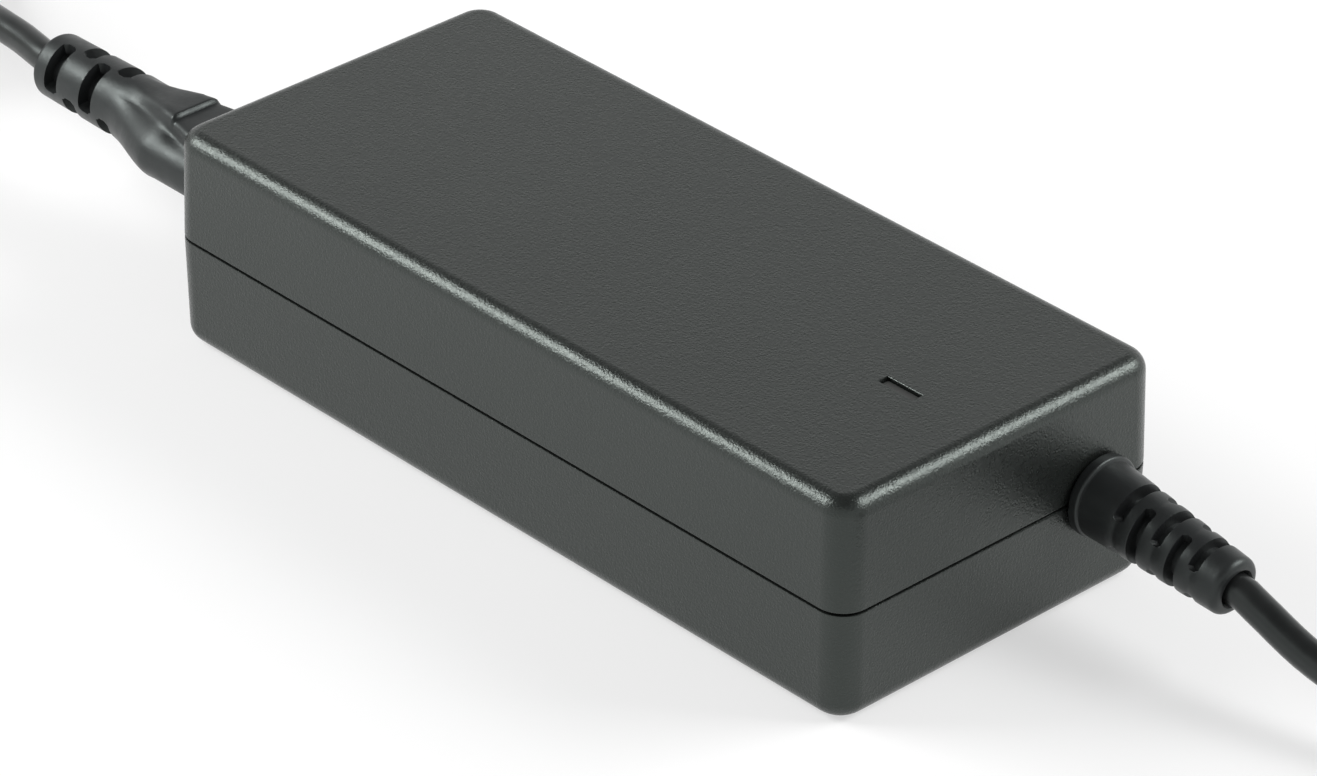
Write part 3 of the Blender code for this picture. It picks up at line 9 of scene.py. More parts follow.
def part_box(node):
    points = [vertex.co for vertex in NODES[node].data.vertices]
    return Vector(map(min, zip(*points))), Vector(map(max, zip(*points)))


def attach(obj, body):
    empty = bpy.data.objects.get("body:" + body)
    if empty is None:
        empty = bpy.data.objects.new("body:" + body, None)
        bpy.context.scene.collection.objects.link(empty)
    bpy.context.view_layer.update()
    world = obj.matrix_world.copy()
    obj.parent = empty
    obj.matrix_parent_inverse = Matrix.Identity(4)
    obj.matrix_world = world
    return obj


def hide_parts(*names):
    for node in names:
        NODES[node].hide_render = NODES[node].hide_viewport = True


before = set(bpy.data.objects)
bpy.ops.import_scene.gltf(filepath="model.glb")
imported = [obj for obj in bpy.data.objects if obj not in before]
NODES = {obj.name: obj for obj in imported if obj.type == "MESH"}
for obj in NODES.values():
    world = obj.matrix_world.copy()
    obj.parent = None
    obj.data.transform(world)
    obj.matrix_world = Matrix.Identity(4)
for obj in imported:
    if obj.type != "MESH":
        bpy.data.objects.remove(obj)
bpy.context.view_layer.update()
SLOTS = {name: node.data.materials[0].name for name, node in NODES.items()}
ADAPTER, MAINS_LEAD = "adapter", "mains_lead"

# Camera, from the photograph's perspective
CAMERA_PLACE = (0.610196, -0.568767, 0.519414)
CAMERA_RIGHT = (0.68025589, 0.73295023, 0.00599039)
CAMERA_UP = (-0.38510259, 0.35043854, 0.85374986)
CAMERA_LENS = 174.863
CAMERA_SENSOR = 36.0

# Leads
TURN_GAP = 0.0005
COIL_END_BEND = 0.0220
COIL_LIFT = 0.0010
LOOP_POINTS = 72
CORD_STEP = 0.0025
MAINS_CORD = 0.0053
MAINS_START = Vector((-0.1295, -0.0125, 0.0197))
MAINS_HEADING = Vector((-1, 0, 0))
MAINS_ROUTE = (
    (-0.1400, -0.0112, 0.0196),
    (-0.1473, -0.0103, 0.0192),
    (-0.1600, -0.0065, 0.0165),
    (-0.1750, 0.0028, 0.0110),
    (-0.1880, 0.0135, 0.0062),
)
DC_CORD = 0.0052
DC_TILT = math.radians(6.8)
DC_HEADING = Vector((math.cos(DC_TILT), 0, -math.sin(DC_TILT)))
DC_BASE = Vector((0.0750, 0.0196, 0.0186))
DC_RELIEF_LENGTH = 0.0276
DC_START = DC_BASE + DC_HEADING * DC_RELIEF_LENGTH
DC_ROUTE = (
    (0.1083, 0.0196, 0.0138),
    (0.1191, 0.0196, 0.0104),
    (0.1340, 0.0215, 0.0073),
    (0.1520, 0.0262, 0.0048),
    (0.1700, 0.0308, 0.0038),
)

# Case, as in the CAD
FIT = 0.0003
NEAR = 0.00001
SEAM = 0.0188
SEAM_GAP = 0.0004
CASE_WALL = 0.0022
CASE_CORNER = 0.0047
CASE_FILLET = 0.0029
CASE_DRAFT = math.radians(1.0)
CORNER_SEGMENTS = 10
FILLET_SEGMENTS = 8
RIM_EASE = 0.00022
WINDOW_LENGTH = 0.0072
WINDOW_WIDTH = 0.0020
WINDOW_FLANGE = 0.0008
WINDOW_EASE = 0.00012
WINDOW_DISH = 0.00008
POST_INSET = 0.0045
POST_RADIUS = 0.0025
INLET_LOW = Vector((-0.0772, -0.0235, 0.0128))
INLET_HIGH = Vector((-0.0706, -0.0015, 0.02725))
RELIEF_HOLE = 0.0048

# Strain relief of the low-voltage lead, measured along its own axis from the end wall
RELIEF_SIDES = 64
RELIEF_FLANGE = 0.0063
RELIEF_FLANGE_DEPTH = 0.0015
RELIEF_NECK = 0.0045
RELIEF_COLLAR = 0.00655
RELIEF_COLLAR_END = 0.0021
RELIEF_COLLAR_EASE = 0.0004
RELIEF_BASE = 0.0061
RELIEF_TIP = 0.00475
RELIEF_TIP_ROUND = 0.0013
RELIEF_END = 0.0271
RELIEF_MOUTH_GAP = 0.0006
RELIEF_MOUTH_DEPTH = 0.0012
RELIEF_RIB_CROWN = 0.00012
RELIEF_SLOT_STEP = 0.0036
RELIEF_SLOTS = [0.00875 + RELIEF_SLOT_STEP * i for i in range(5)]
RELIEF_SLOT_WIDTH = 0.0019
RELIEF_SLOT_FLOOR = 0.0034
SLOT_EASE = 0.00018
SLOT_END_TAPER = 0.55

# Mains connector, measured along its axis from the end wall
CONNECTOR_BASE = Vector((-0.0750, -0.0125, 0.0197))
CONNECTOR_END = 0.0539
CONNECTOR_SIDES = 96
STATION_STEP = 0.0009
NOSE_LENGTH = 0.0120
NOSE_STEP = 0.0004
NOSE_EARTH = 0.0039
LOBE = 0.0043
LOBE_POWER = 9.0
LOBE_BLEND = 18.0
FILLED_BLEND = 6.0
FLANK_FILL = 0.55
SHOULDER = 0.96
NOTCH_FULL_TO = 0.0165
NOTCH_END = 0.0215
POLE_SPACING = 0.0100
POLE_DROP = 0.0009
EARTH_RISE = 0.0020
EARTH_TOP = 0.00585
EARTH_HALF = 0.0060
EARTH_FULL_AT = 0.0140
EARTH_TAPER = 0.235
RIDGE_AT = 0.0187
RIDGE_RISE = 0.0008
RIDGE_FALL = 0.0010
FLARE_START = 0.0217
FLARE_END = 0.0342
NECK_RADIUS = 0.00585
NECK_END_RADIUS = 0.00555
NECK_ROUND = 0.0008
NECK_SLOT_FIRST = 0.0355
NECK_SLOT_STEP = 0.0045
NECK_SLOT_WIDTH = 0.0032
NECK_SLOT_FLOOR = 0.0036
CONTACT_BORE = 0.0024
CONTACT_BOTTOM = 0.0020

# Plugs and ties
PLUG_STEPS = (
    (0.0000, 0.00371, 0.00371, 2.0),
    (0.0200, 0.00583, 0.00583, 2.0),
    (0.0220, 0.00875, 0.00840, 3.0),
    (0.0293, 0.01250, 0.01200, 5.0),
    (0.0460, 0.01250, 0.01200, 6.0),
    (0.0480, 0.01070, 0.01020, 6.0),
)
PLUG_RIBS = (0.0315, 0.0435)
PLUG_RIB_STEP = 0.0024
PLUG_RIB_DEPTH = 0.0006
PLUG_SLOT_FIRST = 0.0050
PLUG_SLOT_STEP = 0.0038
PLUG_SLOT_WIDTH = 0.0016
PLUG_SLOT_FLOOR = 0.0033
BLADE_TIP = 0.0005
BLADE_HOLE = 0.0015
BLADE_HOLE_FROM_TIP = 0.0038
BLADE_EASE = 0.00015
DC_PLUG_RELIEF = 0.0180
DC_PLUG_THIN = 0.00338
DC_PLUG_THICK = 0.00416
DC_PLUG_SHOULDER = 0.0016
DC_PLUG_RING = 0.0004
DC_PLUG_ROUND = 0.0009
DC_PLUG_SLOT_FIRST = 0.0045
DC_PLUG_SLOT_STEP = 0.0033
DC_PLUG_SLOT_WIDTH = 0.0013
DC_PLUG_SLOT_FLOOR = 0.0030
BARREL_WALL = 0.0007
SLEEVE_WALL = 0.0005
MAINS_TIE_DEGREES = 0.0
DC_TIE_DEGREES = -45.0
TIE_CLEARANCE = 0.00035
TIE_THICKNESS = 0.00065
TIE_WIDTH = 0.0060
TIE_ROUND = 0.0012
TIE_EASE = 0.00015

# Finishes
CASE_DARK = (0.0098, 0.0110, 0.0103)
CASE_LIGHT = (0.0118, 0.0132, 0.0123)
CASE_GLOSS = (0.25, 0.31)
CASE_SPECULAR = 0.63
CASE_SHEEN = (0.89, 1.0, 0.94)
GRAIN_SCALE = 2500.0
GRAIN_DEPTH = 0.00008
GRAIN_PITS = 3200.0
PIT_DEPTH = 0.000025
PVC_SPECULAR = 0.5
PVC_SHEEN = (0.90, 1.0, 0.97)
WIRE_TURNS = 320.0
PVC_DARK = (0.0095, 0.0100, 0.0105)
PVC_LIGHT = (0.0150, 0.0158, 0.0165)
PVC_GLOSS = (0.34, 0.46)
PVC_GRAIN = 0.00002
CORD_DARK = (0.0075, 0.0078, 0.0080)
CORD_LIGHT = (0.0125, 0.0128, 0.0130)
CORD_GLOSS = (0.27, 0.34)
CORD_GRAIN = 0.000003

# Studio
FLOOR_SIZE = 4.0
FLOOR_DARK = (0.41, 0.41, 0.41)
FLOOR_LIGHT = (0.43, 0.43, 0.43)
FLOOR_LIFT = 0.54
WALL_TOP = 0.45
CEILING_FROM = 0.75
WALL_LIGHT = 0.82
CEILING_LIGHT = 0.15
LEFT_LAMP_PLACE = (-0.56, -0.45, 0.54)
LEFT_LAMP_SIZE = (0.44, 0.36)
LEFT_LAMP = 5.9
BACK_LAMP_PLACE = (0.46, 0.52, 0.56)
BACK_LAMP_SIZE = (0.44, 0.36)
BACK_LAMP = 5.2


def ease(t):
    """Rise from 0 to 1 with a level start and end."""
    t = min(max(t, 0.0), 1.0)
    return t * t * (3 - 2 * t)


def smooth_route(guides, spacing):
    """Even points on a smooth curve through the guides; the first and last guide only aim it."""
    fine = []
    substeps = 24
    for before, start, end, after in zip(guides, guides[1:], guides[2:], guides[3:]):
        pull_start = (end - before) / 2
        pull_end = (after - start) / 2
        for i in range(substeps):
            t = i / substeps
            place = start * (2 * t ** 3 - 3 * t ** 2 + 1) + end * (3 * t ** 2 - 2 * t ** 3)
            place += pull_start * (t ** 3 - 2 * t ** 2 + t) + pull_end * (t ** 3 - t ** 2)
            fine.append(place)
    fine.append(guides[-2])
    reach = [0.0]
    for a, b in zip(fine, fine[1:]):
        reach.append(reach[-1] + (b - a).length)
    count = max(2, round(reach[-1] / spacing))
    points = [fine[0]]
    k = 0
    for i in range(1, count):
        wanted = reach[-1] * i / count
        while reach[k + 1] < wanted:
            k += 1
        share = (wanted - reach[k]) / (reach[k + 1] - reach[k])
        points.append(fine[k].lerp(fine[k + 1], share))
    points.append(fine[-1])
    return points


class Coil:
    """Loops of a lead put away in layers, from its straight start up to the plug on top."""

    def __init__(self, centre, radius, layers, turns, start_degrees, sense, diameter):
        self.centre = centre
        self.radius = radius
        self.layers = layers
        self.turns = turns
        self.start_degrees = start_degrees
        self.sense = sense
        self.diameter = diameter
        self.pitch = diameter + TURN_GAP
        self.first_z = COIL_LIFT + diameter / 2

    def point(self, radius, degrees, z):
        """Point about the middle of the coil."""
        angle = math.radians(degrees)
        x = self.centre[0] + radius * math.cos(angle)
        y = self.centre[1] + radius * math.sin(angle)
        return Vector((x, y, z))

    def heading(self, degrees):
        """Direction of travel at an angle."""
        angle = math.radians(degrees)
        return Vector((-math.sin(angle), math.cos(angle), 0)) * self.sense

    def loop_point(self, turn):
        """Point after so many turns: the spiral reverses midway through each half-turn climb."""
        half_wave = self.turns + 0.5
        wave = (turn + 0.25) % (2 * half_wave)
        inward = min(wave, 2 * half_wave - wave) - 0.25
        layer = min(int(turn / half_wave + 1e-9), self.layers - 1)
        climb = ease((turn - layer * half_wave - self.turns) * 2)
        if layer == self.layers - 1:
            climb = 0.0
        radius = self.radius - self.pitch * inward
        degrees = self.start_degrees + self.sense * 360 * turn
        return self.point(radius, degrees, self.first_z + self.pitch * (layer + climb))

    def points(self, plug):
        """The loops, then a last rise and an inward bend that ends straight at the plug."""
        total = self.layers * self.turns + (self.layers - 1) / 2
        count = round(total * LOOP_POINTS)
        line = [self.loop_point(i / LOOP_POINTS) for i in range(count + 1)]
        degrees = self.start_degrees + self.sense * 360 * total
        quarter = LOOP_POINTS // 4
        run = self.radius + COIL_END_BEND
        low = line[-1].z
        for i in range(1, quarter + 1):
            rise = ease(self.radius / run * i / quarter)
            radius = self.radius + self.pitch / 4 * i / quarter
            turned_by = self.sense * 90 * i / quarter
            line.append(self.point(radius, degrees + turned_by, low + (plug.z - low) * rise))
        degrees += self.sense * 90
        pivot = self.point(self.radius + self.pitch / 4 - COIL_END_BEND, degrees, 0.0)
        for i in range(1, quarter + 1):
            rise = ease((self.radius + COIL_END_BEND * i / quarter) / run)
            angle = math.radians(degrees + self.sense * 90 * i / quarter)
            arm = Vector((math.cos(angle), math.sin(angle), 0)) * COIL_END_BEND
            line.append(pivot + arm + Vector((0, 0, low + (plug.z - low) * rise)))
        line.append(plug)
        return line


MAINS_COIL = Coil((-0.2260, 0.0), 0.0340, 2, 43 / 24, 60.0, 1, MAINS_CORD)
DC_COIL = Coil((0.1880, 0.0), 0.0320, 4, 1.0, 90.0, -1, DC_CORD)


def end_of(node, low_end):
    """Middle of the end face of a piece that points along X."""
    low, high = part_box(node)
    middle = (low + high) / 2
    return Vector((low.x if low_end else high.x, middle.y, middle.z))


def route_length(points):
    """Length along a row of points."""
    return sum((b - a).length for a, b in zip(points, points[1:]))


def make_cord(name, start, heading, route, coil, plug, material, body):
    """One lead as one line: out of its strain relief, along the route, round the coil to its plug."""
    entry = coil.heading(coil.start_degrees)
    stub = coil.diameter / 2
    loops = coil.points(plug)
    guides = [start, start + heading * stub]
    guides += [Vector(point) for point in route]
    guides += [loops[0] - entry * 3 * stub, loops[0]]
    points = [start - heading * stub] + smooth_route(guides, CORD_STEP) + loops
    curve = bpy.data.curves.new(name, "CURVE")
    curve.dimensions = "3D"
    curve.bevel_depth = coil.diameter / 2
    curve.bevel_resolution = 6
    curve.use_fill_caps = True
    line = curve.splines.new("POLY")
    line.points.add(len(points) - 1)
    for knot, point in zip(line.points, points):
        knot.co = (*point, 1.0)
    line.use_smooth = True
    curve.materials.append(material)
    piece = bpy.data.objects.new(name, curve)
    bpy.context.scene.collection.objects.link(piece)
    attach(piece, body)
    return piece, route_length(points)


def make_camera():
    """Camera at the photograph's place and angle."""
    data = bpy.data.cameras.new("photo_camera")
    data.lens = CAMERA_LENS
    data.sensor_width = CAMERA_SENSOR
    data.sensor_fit = "HORIZONTAL"
    data.clip_start = 0.01
    data.clip_end = 20.0
    camera = bpy.data.objects.new("photo_camera", data)
    right, up = Vector(CAMERA_RIGHT), Vector(CAMERA_UP)
    turn = Matrix((right, up, right.cross(up))).transposed()
    camera.matrix_world = Matrix.Translation(CAMERA_PLACE) @ turn.to_4x4()
    bpy.context.scene.collection.objects.link(camera)
    bpy.context.scene.camera = camera


class Finish:
    """A surface finish: one principled shader fed by small patterns on object coordinates."""

    def __init__(self, name, metallic=0.0, specular=0.5, sheen=(1.0, 1.0, 1.0)):
        self.material = bpy.data.materials.new(name)
        self.material.use_nodes = True
        self.nodes = self.material.node_tree.nodes
        self.links = self.material.node_tree.links
        self.shader = self.nodes["Principled BSDF"]
        self.shader.inputs["Metallic"].default_value = metallic
        self.shader.inputs["Specular IOR Level"].default_value = specular
        self.shader.inputs["Specular Tint"].default_value = (*sheen, 1.0)
        self.place = self.nodes.new("ShaderNodeTexCoord").outputs["Object"]

    def stretched(self, scale):
        """Object coordinates scaled by different amounts along the axes."""
        mapping = self.nodes.new("ShaderNodeMapping")
        mapping.inputs["Scale"].default_value = scale
        self.links.new(self.place, mapping.inputs["Vector"])
        return mapping.outputs["Vector"]

    def noise(self, scale, detail=2.0, roughness=0.5, vector=None):
        """Cloudy pattern; the scale counts features to the metre."""
        made = self.nodes.new("ShaderNodeTexNoise")
        made.inputs["Scale"].default_value = scale
        made.inputs["Detail"].default_value = detail
        made.inputs["Roughness"].default_value = roughness
        self.links.new(vector or self.place, made.inputs["Vector"])
        return made.outputs["Fac"]

    def cells(self, scale, vector=None):
        """Pattern of small rounded pits."""
        made = self.nodes.new("ShaderNodeTexVoronoi")
        made.feature = "SMOOTH_F1"
        made.inputs["Scale"].default_value = scale
        made.inputs["Smoothness"].default_value = 0.6
        self.links.new(vector or self.place, made.inputs["Vector"])
        return made.outputs["Distance"]

    def rings(self, scale, axis, distortion=0.0):
        """Bands across one axis, as wire wound on a core."""
        made = self.nodes.new("ShaderNodeTexWave")
        made.bands_direction = axis
        made.inputs["Scale"].default_value = scale
        made.inputs["Distortion"].default_value = distortion
        self.links.new(self.place, made.inputs["Vector"])
        return made.outputs["Fac"]

    def ramp(self, pattern, stops):
        """Colours along a pattern."""
        made = self.nodes.new("ShaderNodeValToRGB")
        edge = made.color_ramp.elements
        while len(edge) < len(stops):
            edge.new(0.5)
        for element, (position, colour) in zip(edge, stops):
            element.position = position
            element.color = (*colour, 1.0)
        self.links.new(pattern, made.inputs["Fac"])
        return made.outputs["Color"]

    def between(self, pattern, low, high):
        """Number that a pattern moves from low to high."""
        made = self.nodes.new("ShaderNodeMapRange")
        made.inputs["From Min"].default_value = 0.3
        made.inputs["From Max"].default_value = 0.7
        made.inputs["To Min"].default_value = low
        made.inputs["To Max"].default_value = high
        self.links.new(pattern, made.inputs["Value"])
        return made.outputs["Result"]

    def colour(self, pattern, dark, light):
        """Base colour that wanders from dark to light."""
        wanted = self.ramp(pattern, ((0.3, dark), (0.7, light)))
        self.links.new(wanted, self.shader.inputs["Base Color"])

    def roughness(self, pattern, low, high):
        """Gloss that wanders with a pattern."""
        self.links.new(self.between(pattern, low, high), self.shader.inputs["Roughness"])

    def bump(self, pattern, depth, strength=1.0):
        """Fine relief of the surface, one layer on another."""
        made = self.nodes.new("ShaderNodeBump")
        made.inputs["Strength"].default_value = strength
        made.inputs["Distance"].default_value = depth
        self.links.new(pattern, made.inputs["Height"])
        before = self.shader.inputs["Normal"].links
        if before:
            self.links.new(before[0].from_socket, made.inputs["Normal"])
        self.links.new(made.outputs["Normal"], self.shader.inputs["Normal"])


def moulded_plastic():
    """Charcoal case plastic with the fine spark-eroded grain of its mould."""
    made = Finish("case_plastic_grain", specular=CASE_SPECULAR, sheen=CASE_SHEEN)
    made.colour(made.noise(35.0, 3.0), CASE_DARK, CASE_LIGHT)
    made.roughness(made.noise(900.0), CASE_GLOSS[0], CASE_GLOSS[1])
    made.bump(made.noise(GRAIN_SCALE, 3.0, 0.55), GRAIN_DEPTH)
    made.bump(made.cells(GRAIN_PITS), PIT_DEPTH)
    return made.material


def soft_pvc(name, dark, light, gloss, grain):
    """Flexible black PVC: satin with a faint mould texture, and a cloudy bloom."""
    made = Finish(name, specular=PVC_SPECULAR, sheen=PVC_SHEEN)
    made.colour(made.noise(120.0, 4.0), dark, light)
    made.roughness(made.noise(400.0, 4.0), gloss[0], gloss[1])
    made.bump(made.noise(1400.0, 2.0), grain)
    return made.material


def window_lens():
    """Smoked window over the unlit lamp."""
    made = Finish("smoked_lens")
    made.colour(made.noise(600.0), (0.020, 0.021, 0.020), (0.028, 0.029, 0.027))
    made.roughness(made.noise(300.0), 0.28, 0.36)
    made.bump(made.noise(900.0), 0.000004)
    return made.material


def bare_metal(name, dark, light, gloss):
    """Plated or bare metal with fine drawn scratches along X."""
    made = Finish(name, metallic=1.0)
    drawn = made.stretched((60.0, 2600.0, 2600.0))
    made.colour(made.noise(1.0, 3.0, vector=drawn), dark, light)
    made.roughness(made.noise(1.0, 4.0, vector=drawn), gloss[0], gloss[1])
    made.bump(made.noise(1.0, 2.0, vector=drawn), 0.000006)
    return made.material


def plain_finish(name, dark, light, gloss, grain=900.0, depth=0.00001):
    """Moulded, painted or dipped part inside the case."""
    made = Finish(name)
    made.colour(made.noise(grain / 4, 3.0), dark, light)
    made.roughness(made.noise(grain / 2), gloss[0], gloss[1])
    made.bump(made.noise(grain, 3.0), depth)
    return made.material


def wound_wire(name, dark, light, axis):
    """Lacquered copper wire laid turn by turn."""
    made = Finish(name, metallic=0.8)
    turns = made.rings(WIRE_TURNS, axis, 0.4)
    made.colour(turns, dark, light)
    made.roughness(made.noise(700.0), 0.22, 0.38)
    made.bump(turns, 0.00012)
    return made.material


def board_finish():
    """Lacquered board: green, with the weave of the glass showing faintly through."""
    made = Finish("board_lacquer")
    made.colour(made.noise(60.0, 6.0, 0.65), (0.030, 0.125, 0.048), (0.052, 0.195, 0.080))
    made.roughness(made.noise(250.0), 0.30, 0.48)
    made.bump(made.rings(300.0, "X", 1.0), 0.00002)
    made.bump(made.rings(300.0, "Y", 1.0), 0.00002)
    return made.material


def strap_finish():
    """Woven strap: two crossed ribs and a dusty nap."""
    made = Finish("woven_strap", specular=0.3)
    made.colour(made.noise(500.0, 4.0), (0.014, 0.014, 0.015), (0.030, 0.030, 0.031))
    made.roughness(made.noise(900.0), 0.70, 0.88)
    made.bump(made.rings(420.0, "X"), 0.00008)
    made.bump(made.rings(420.0, "Y"), 0.00008)
    made.bump(made.rings(420.0, "Z"), 0.00008)
    return made.material


def inner_finishes():
    """Finish of each material slot that carried-over CAD pieces use."""
    return {
        "lens": window_lens(),
        "nickel": bare_metal("nickel_plate", (0.56, 0.54, 0.50), (0.68, 0.66, 0.62), (0.20, 0.34)),
        "component_black": plain_finish("moulded_black", (0.014, 0.014, 0.015), (0.024, 0.024, 0.025),
                                        (0.36, 0.52)),
        "ferrite": plain_finish("sintered_ferrite", (0.036, 0.034, 0.033), (0.060, 0.057, 0.054),
                                (0.60, 0.80), 1600.0, 0.00004),
        "copper_wire": wound_wire("enamelled_copper", (0.38, 0.13, 0.045), (0.74, 0.34, 0.15), "Z"),
        "aluminium": bare_metal("mill_aluminium", (0.62, 0.63, 0.64), (0.76, 0.77, 0.78), (0.30, 0.46)),
        "screw_steel": bare_metal("plated_steel", (0.48, 0.49, 0.50), (0.62, 0.63, 0.64), (0.24, 0.38)),
        "insulating_film": plain_finish("insulating_film", (0.66, 0.63, 0.55), (0.82, 0.80, 0.72),
                                        (0.26, 0.40), 300.0),
        "board_laminate": board_finish(),
        "ceramic_blue": plain_finish("dipped_ceramic", (0.030, 0.085, 0.30), (0.060, 0.140, 0.44),
                                     (0.18, 0.32), 500.0, 0.00003),
        "capacitor_yellow": plain_finish("yellow_block", (0.62, 0.40, 0.045), (0.76, 0.52, 0.075),
                                         (0.30, 0.45)),
        "spacer_cream": plain_finish("cream_nylon", (0.66, 0.60, 0.46), (0.78, 0.72, 0.58), (0.40, 0.55)),
        "wire_brown": plain_finish("brown_sleeve", (0.13, 0.052, 0.020), (0.20, 0.085, 0.034), (0.30, 0.44)),
        "wire_blue": plain_finish("blue_sleeve", (0.020, 0.070, 0.30), (0.036, 0.11, 0.42), (0.30, 0.44)),
        "wire_green": plain_finish("green_sleeve", (0.045, 0.24, 0.045), (0.075, 0.34, 0.070), (0.30, 0.44)),
        "wire_red": plain_finish("red_sleeve", (0.40, 0.024, 0.020), (0.54, 0.040, 0.032), (0.30, 0.44)),
        "wire_black": plain_finish("black_sleeve", (0.010, 0.010, 0.011), (0.020, 0.020, 0.021), (0.30, 0.44)),
    }


def fresh():
    """Leave edit mode with nothing selected."""
    if bpy.context.mode != "OBJECT":
        bpy.ops.object.mode_set(mode="OBJECT")
    bpy.ops.object.select_all(action="DESELECT")


def begin(name):
    """Name the primitive just added, bake its place into its mesh and open it for editing."""
    piece = bpy.context.active_object
    piece.name = name
    piece.data.name = name
    bpy.ops.object.transform_apply(location=True, rotation=True, scale=True)
    bpy.ops.object.mode_set(mode="EDIT")
    return piece


def block(name, low, high):
    """A box between two corners, open for editing."""
    fresh()
    low, high = Vector(low), Vector(high)
    bpy.ops.mesh.primitive_cube_add(size=1.0, location=(low + high) / 2)
    bpy.context.active_object.scale = high - low
    return begin(name)


def pick(piece, kind, wanted):
    """Select only the vertices, edges or faces that pass a test."""
    bpy.ops.mesh.select_mode(type=kind)
    bpy.ops.mesh.select_all(action="DESELECT")
    shape = bmesh.from_edit_mesh(piece.data)
    for part in {"VERT": shape.verts, "EDGE": shape.edges, "FACE": shape.faces}[kind]:
        part.select_set(wanted(part))
    shape.select_flush_mode()
    bmesh.update_edit_mesh(piece.data)


def between_ends(edge):
    """Middle of an edge."""
    return (edge.verts[0].co + edge.verts[1].co) / 2


def apply_modifier(piece, kind, **settings):
    """Add a modifier to a piece and apply it."""
    fresh()
    bpy.context.view_layer.objects.active = piece
    piece.select_set(True)
    made = piece.modifiers.new(kind.lower(), kind)
    for key, value in settings.items():
        setattr(made, key, value)
    bpy.ops.object.modifier_apply(modifier=made.name)


def cut(piece, cutter, how="DIFFERENCE"):
    """Cut a piece with another, or weld the other to it, and drop the other."""
    apply_modifier(piece, "BOOLEAN", object=cutter, operation=how, solver="EXACT")
    bpy.data.objects.remove(cutter, do_unlink=True)


def weld(piece):
    """Merge the points that cutting leaves on top of each other."""
    fresh()
    bpy.context.view_layer.objects.active = piece
    bpy.ops.object.mode_set(mode="EDIT")
    bpy.ops.mesh.select_all(action="SELECT")
    bpy.ops.mesh.remove_doubles(threshold=NEAR / 2)
    bpy.ops.mesh.dissolve_degenerate(threshold=NEAR / 2)
    fresh()


def soften(piece, width, segments=2, degrees=40.0):
    """Round every sharp edge a little."""
    apply_modifier(piece, "BEVEL", width=width, segments=segments, limit_method="ANGLE",
                   angle_limit=math.radians(degrees), use_clamp_overlap=True, harden_normals=False)


def complete(piece, material, body, *nodes, smooth_degrees=35.0):
    """Smooth shading, finish and body of a finished piece, and the CAD solids it stands for."""
    fresh()
    bpy.context.view_layer.objects.active = piece
    piece.select_set(True)
    bpy.ops.object.shade_smooth_by_angle(angle=math.radians(smooth_degrees))
    apply_modifier(piece, "WEIGHTED_NORMAL", weight=100, keep_sharp=True)
    piece.data.materials.clear()
    piece.data.materials.append(material)
    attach(piece, body)
    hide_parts(*nodes)
    return piece


def axes_across(axis):
    """Two directions square to an axis: the first level, the second as near upright as can be."""
    side = Vector((0, 0, 1)).cross(axis).normalized()
    return side, axis.cross(side).normalized()


def turned_piece(name, base, axis, profile, sides):
    """A round piece drawn out ring by ring along an axis from (along, radius) steps."""
    fresh()
    turn = axis.to_track_quat("Z", "Y").to_euler()
    along, radius = profile[0]
    bpy.ops.mesh.primitive_circle_add(vertices=sides, radius=radius, fill_type="NGON",
                                      location=base + axis * along, rotation=turn)
    piece = begin(name)
    bpy.ops.mesh.select_all(action="SELECT")
    for last, step in zip(profile, profile[1:]):
        centre = base + axis * step[0]
        bpy.ops.mesh.extrude_region_move(TRANSFORM_OT_translate={"value": axis * (step[0] - last[0])})
        ratio = step[1] / last[1]
        bpy.ops.transform.resize(value=(ratio, ratio, ratio), center_override=centre)
    bpy.ops.mesh.select_all(action="SELECT")
    bpy.ops.mesh.normals_make_consistent(inside=False)
    fresh()
    return piece


def arc_cutter(name, base, axis, along, width, inner, outer, degrees, half_span):
    """A slot cutter: a small upright rectangle spun part of the way round an axis."""
    side, up = axes_across(axis)
    angle = math.radians(degrees + half_span)
    out = side * math.cos(angle) + up * math.sin(angle)
    centre = base + axis * along + out * (inner + outer) / 2
    turn = Matrix((axis, out, axis.cross(out))).transposed().to_euler()
    fresh()
    bpy.ops.mesh.primitive_plane_add(size=1.0, location=centre, rotation=turn)
    bpy.context.active_object.scale = (width, outer - inner, 1.0)
    piece = begin(name)
    bpy.ops.mesh.select_all(action="SELECT")
    bpy.ops.mesh.spin(steps=round(half_span / 3), angle=math.radians(2 * half_span), center=base, axis=axis)
    bpy.ops.mesh.select_all(action="SELECT")
    bpy.ops.mesh.remove_doubles(threshold=NEAR / 2)
    bpy.ops.mesh.normals_make_consistent(inside=False)
    shape = bmesh.from_edit_mesh(piece.data)
    middle = base + axis * along
    for part in shape.faces:
        out = part.calc_center_median() - middle
        if abs(part.normal.dot(axis)) < 0.3 and abs(part.normal.dot(out.normalized())) < 0.3:
            for vertex in part.verts:
                vertex.co -= axis * (vertex.co - middle).dot(axis) * SLOT_END_TAPER
    bmesh.update_edit_mesh(piece.data)
    fresh()
    return piece


